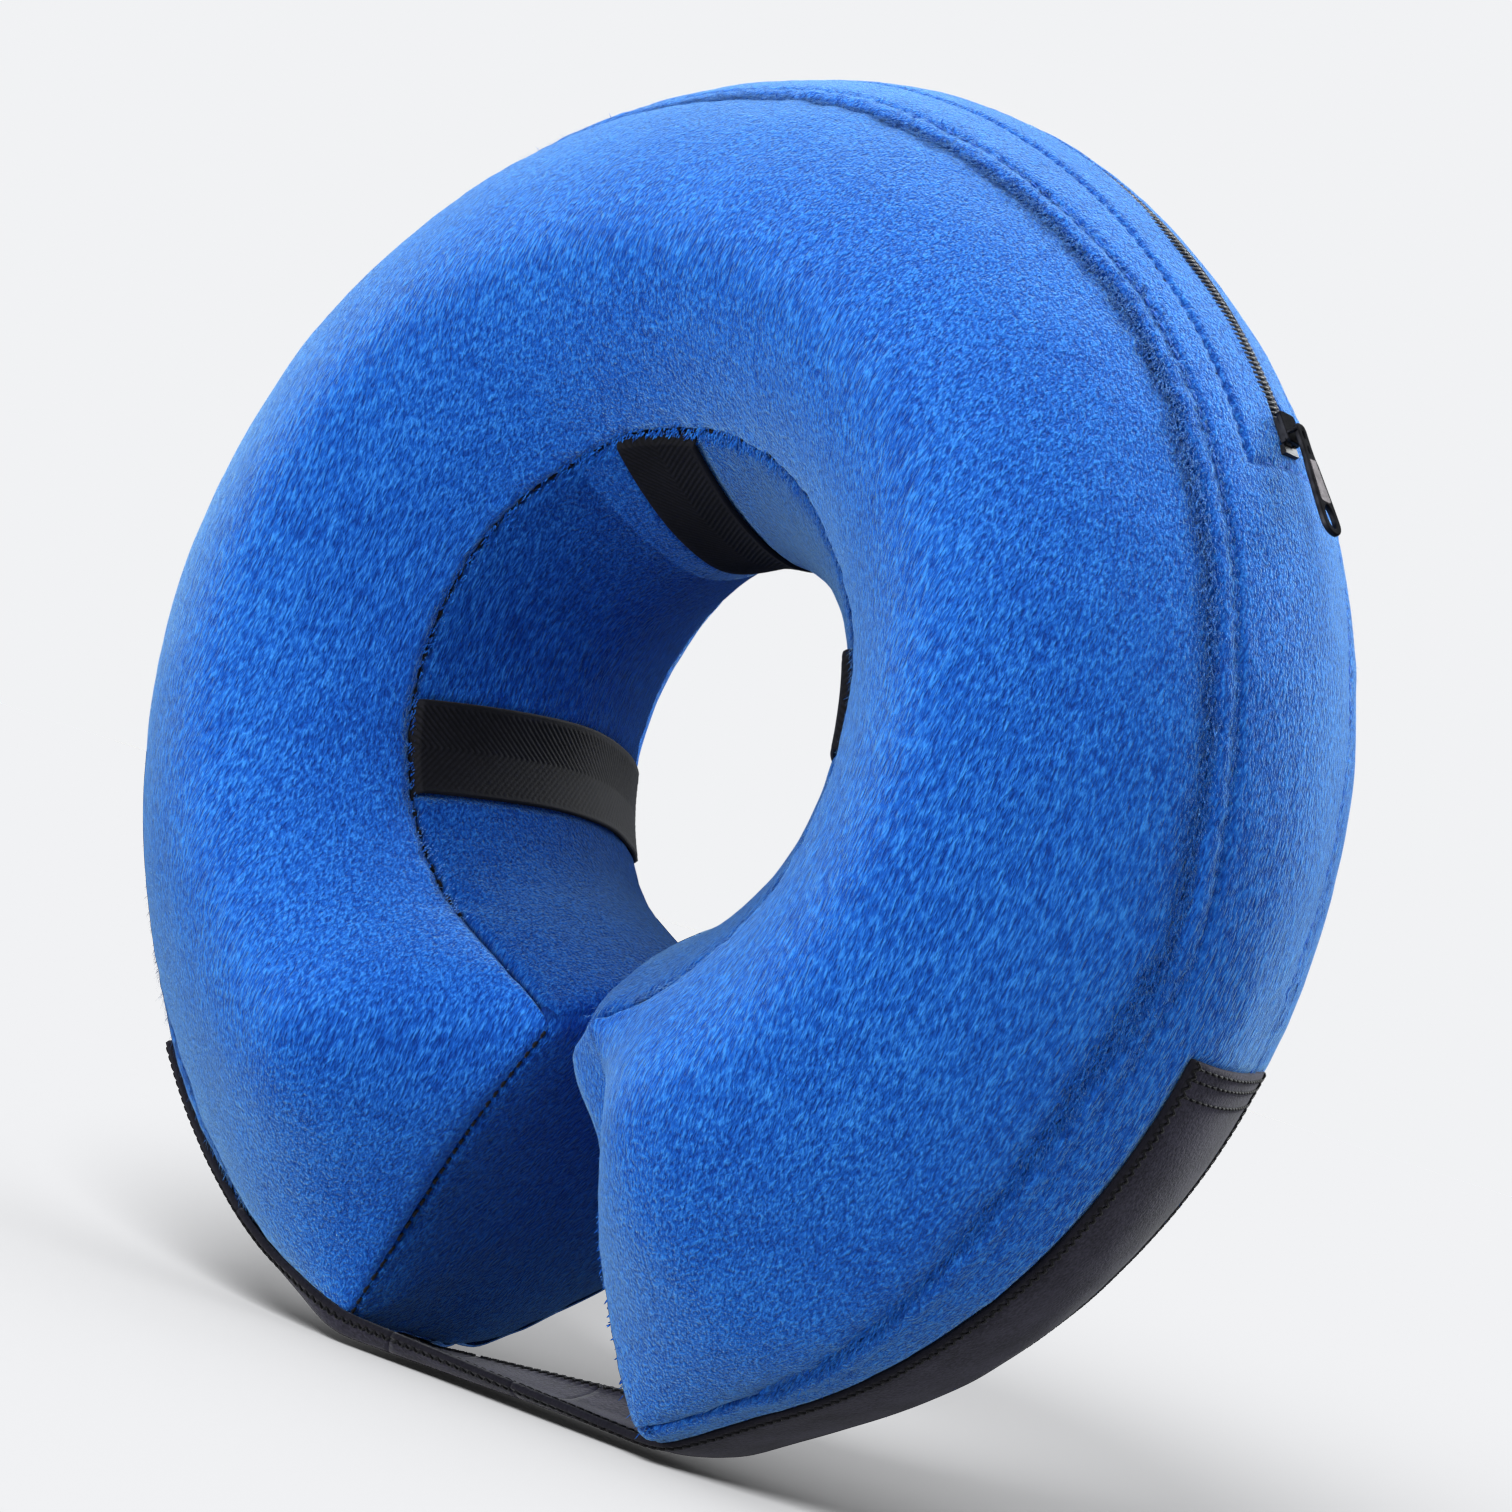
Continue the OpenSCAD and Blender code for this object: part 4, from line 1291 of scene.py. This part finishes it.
def pull_outline():
    """The pull's outline: a narrow neck that widens to a round end. Along runs away from the slider."""
    half = [(1.5, 0.8), (1.1, 1.4), (0.2, 1.75), (-2.0, 1.7), (-5.2, 1.6), (-8.2, 1.75), (-10.0, 2.2), (-16.0, 2.7),
            (-22.0, 3.2), (-25.6, 3.4)]
    cap = [(-26.6 - 3.4 * math.sin(t), 3.4 * math.cos(t)) for t in np.linspace(0.15, math.pi - 0.15, 13)]
    lower = [(a, -f) for a, f in half[::-1]]
    return [(a + BAIL_AT, f) for a, f in half + cap + lower]


def oval(along, half_along, half_front, steps=24):
    return [(along + BAIL_AT + half_along * math.cos(t), half_front * math.sin(t)) for t in np.linspace(0, TAU, steps, endpoint=False)]


def zipper_pull():
    holes = [oval(-1.2, 1.9, 0.95), oval(-6.0, 1.5, 0.85), oval(-25.2, 3.9, 2.35)]
    frame_piece = pull_curve("zipper_pull_frame", pull_outline(), holes, 1.5, 0.4, PULL_PIVOT, dark_metal)
    face = pull_curve("zipper_pull_plate", [(a + BAIL_AT, f) for a, f in ((-9.0, 1.2), (-20.4, 2.2), (-20.9, 1.6), (-20.9, -1.6), (-20.4, -2.2), (-9.0, -1.2))],
                      [], 1.75, 0.2, PULL_PIVOT, plate_metal)
    for obj in (frame_piece, face):
        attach(obj, "pull")
    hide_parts("zipper_pull")


zipper_slider()
zipper_pull()

# ---------------------------------------------------------------- CAD nodes that stay

for name, material in (("zipper_tape_front", tape_cloth), ("zipper_tape_rear", tape_cloth), ("zipper_stops", dark_metal),
                       ("valve_base", vinyl), ("valve_stem", vinyl), ("valve_plug", vinyl)):
    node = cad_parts[name]
    if not node.data.materials:
        node.data.materials.append(material)
    for k in range(len(node.data.materials)):
        node.data.materials[k] = material

# ---------------------------------------------------------------- stage

SKY_UP = (-0.28, -0.25, 0.93)

world = bpy.data.worlds.new("studio")
bpy.context.scene.world = world
world.use_nodes = True
wn = Nodes(world.node_tree)
background = world.node_tree.nodes["Background"]
seen = wn.add("ShaderNodeLightPath")
facing = wn.vector("DOT_PRODUCT", wn.add("ShaderNodeTexCoord").outputs["Generated"], SKY_UP, out="Value")
glow = wn.ramp(wn.math("ADD", wn.math("MULTIPLY", facing, 0.5), 0.5),
               [(0.30, (0.07, 0.075, 0.09)), (0.62, (0.34, 0.36, 0.39)), (0.95, (0.80, 0.82, 0.85))])
lit = wn.mix(seen.outputs["Is Camera Ray"], glow, (0.880, 0.888, 0.905, 1))
wn.link(lit, background.inputs["Color"])
background.inputs["Strength"].default_value = 1.0

bpy.context.scene.view_settings.view_transform = "Standard"
bpy.context.scene.view_settings.look = "None"

AZ, EL, ROLL = math.radians(38.33), math.radians(-1.24), math.radians(18.09)
DISTANCE = 1.699
BACK = Vector((math.sin(AZ) * math.cos(EL), -math.cos(AZ) * math.cos(EL), math.sin(EL)))
RIGHT = Vector((math.cos(AZ), math.sin(AZ), 0))
UP = BACK.cross(RIGHT)
CAM_X = RIGHT * math.cos(ROLL) + UP * math.sin(ROLL)
CAM_Y = -RIGHT * math.sin(ROLL) + UP * math.cos(ROLL)


FLOOR_Z = cad_box[0].z
FLOOR_R = 60.0


def floor_material():
    """Plain pale floor. It only shows where a shadow falls on it, so the backdrop has no horizon."""
    material, tree, shader = new_material("floor")
    shader.inputs["Base Color"].default_value = (0.93, 0.935, 0.945, 1)
    shader.inputs["Roughness"].default_value = 0.9
    shader.inputs["Specular IOR Level"].default_value = 0.0
    return material


rings = [0.1, 0.5, 2.0, 10.0, FLOOR_R]
floor_points = [(r * math.cos(a), r * math.sin(a), 0) for r in rings for a in np.linspace(0, TAU, 48, endpoint=False)]
floor_faces = grid_faces(len(rings), 48, close=True, flip=True) + [list(range(48))]
floor = new_object("floor", floor_points, floor_faces)
floor.location = (0.02, 0.0, FLOOR_Z - 0.0003)
floor.data.materials.append(floor_material())
floor.is_shadow_catcher = True
floor.visible_diffuse = False
floor.visible_glossy = False


def link_set(name, objects, state):
    """A light's receivers: only these objects, or all but these."""
    group = bpy.data.collections.new(name)
    for obj in objects:
        group.objects.link(obj)
    for item in group.collection_objects:
        item.light_linking.link_state = state
    return group


skip_floor = link_set("skip_floor", [floor], "EXCLUDE")
shaded = [floor] + [bpy.data.objects[name] for name in ("neck_band_cover_left", "end_face_cover_left", "zipper_pull_frame",
                                                         "zipper_slider_body")]
skip_neck = link_set("skip_neck", shaded, "EXCLUDE")
bands = [bpy.data.objects["neck_band_cover_" + side] for side in ("left", "right")]
skip_band = link_set("skip_band", [floor, *bands], "EXCLUDE")
only_band = link_set("only_band", bands, "INCLUDE")
only_floor = link_set("only_floor", [floor], "INCLUDE")


def area_light(name, right, up, back, size, power, color=(1, 1, 1), receivers=None):
    """A soft light placed from where the camera stands: to its right, above it, and towards it."""
    light = bpy.data.lights.new(name, "AREA")
    light.shape = "DISK"
    light.size = size
    light.energy = power
    light.color = color
    obj = bpy.data.objects.new(name, light)
    bpy.context.scene.collection.objects.link(obj)
    obj.location = RIGHT * right + UP * up + BACK * back
    direction = -obj.location
    obj.rotation_mode = "QUATERNION"
    obj.rotation_quaternion = direction.to_track_quat("-Z", "Y")
    if receivers:
        obj.light_linking.receiver_collection = receivers
    if receivers is not only_floor:
        obj.light_linking.blocker_collection = skip_floor
    return obj


area_light("fill", -1.8, 0.05, 1.25, 1.2, 38.0, (1, 1, 1), skip_band)
area_light("fill_band", -1.8, 0.05, 1.25, 1.2, 14.0, (1, 1, 1), only_band)
area_light("low", 0.5, -1.1, 1.3, 1.2, 7.0, (1, 1, 1), skip_neck)
area_light("rim", 1.46, 1.32, -0.95, 0.9, 72.0, (0.97, 1.0, 0.98), skip_neck)
area_light("top", -0.43, 1.96, -0.25, 1.2, 46.0, (1, 1, 1), skip_neck)
area_light("side", 2.0, -0.02, 0.22, 0.8, 10.0, (1, 1, 1), skip_neck)
area_light("floor_light", -0.35, 0.75, 1.6, 0.6, 60.0, (1, 1, 1), only_floor)

camera_data = bpy.data.cameras.new("camera")
camera_data.sensor_width = 36.0
camera_data.lens = 6458.99 / 1512 * 36.0
camera_data.shift_x = (756 - 734.1) / 1512
camera_data.shift_y = (747.2 - 756) / 1512
camera_data.clip_start, camera_data.clip_end = 0.05, 20.0
camera = bpy.data.objects.new("camera", camera_data)
bpy.context.scene.collection.objects.link(camera)
rotation = Matrix((CAM_X, CAM_Y, BACK)).transposed()
camera.rotation_mode = "QUATERNION"
camera.rotation_quaternion = rotation.to_quaternion()
camera.location = BACK * DISTANCE
bpy.context.scene.camera = camera
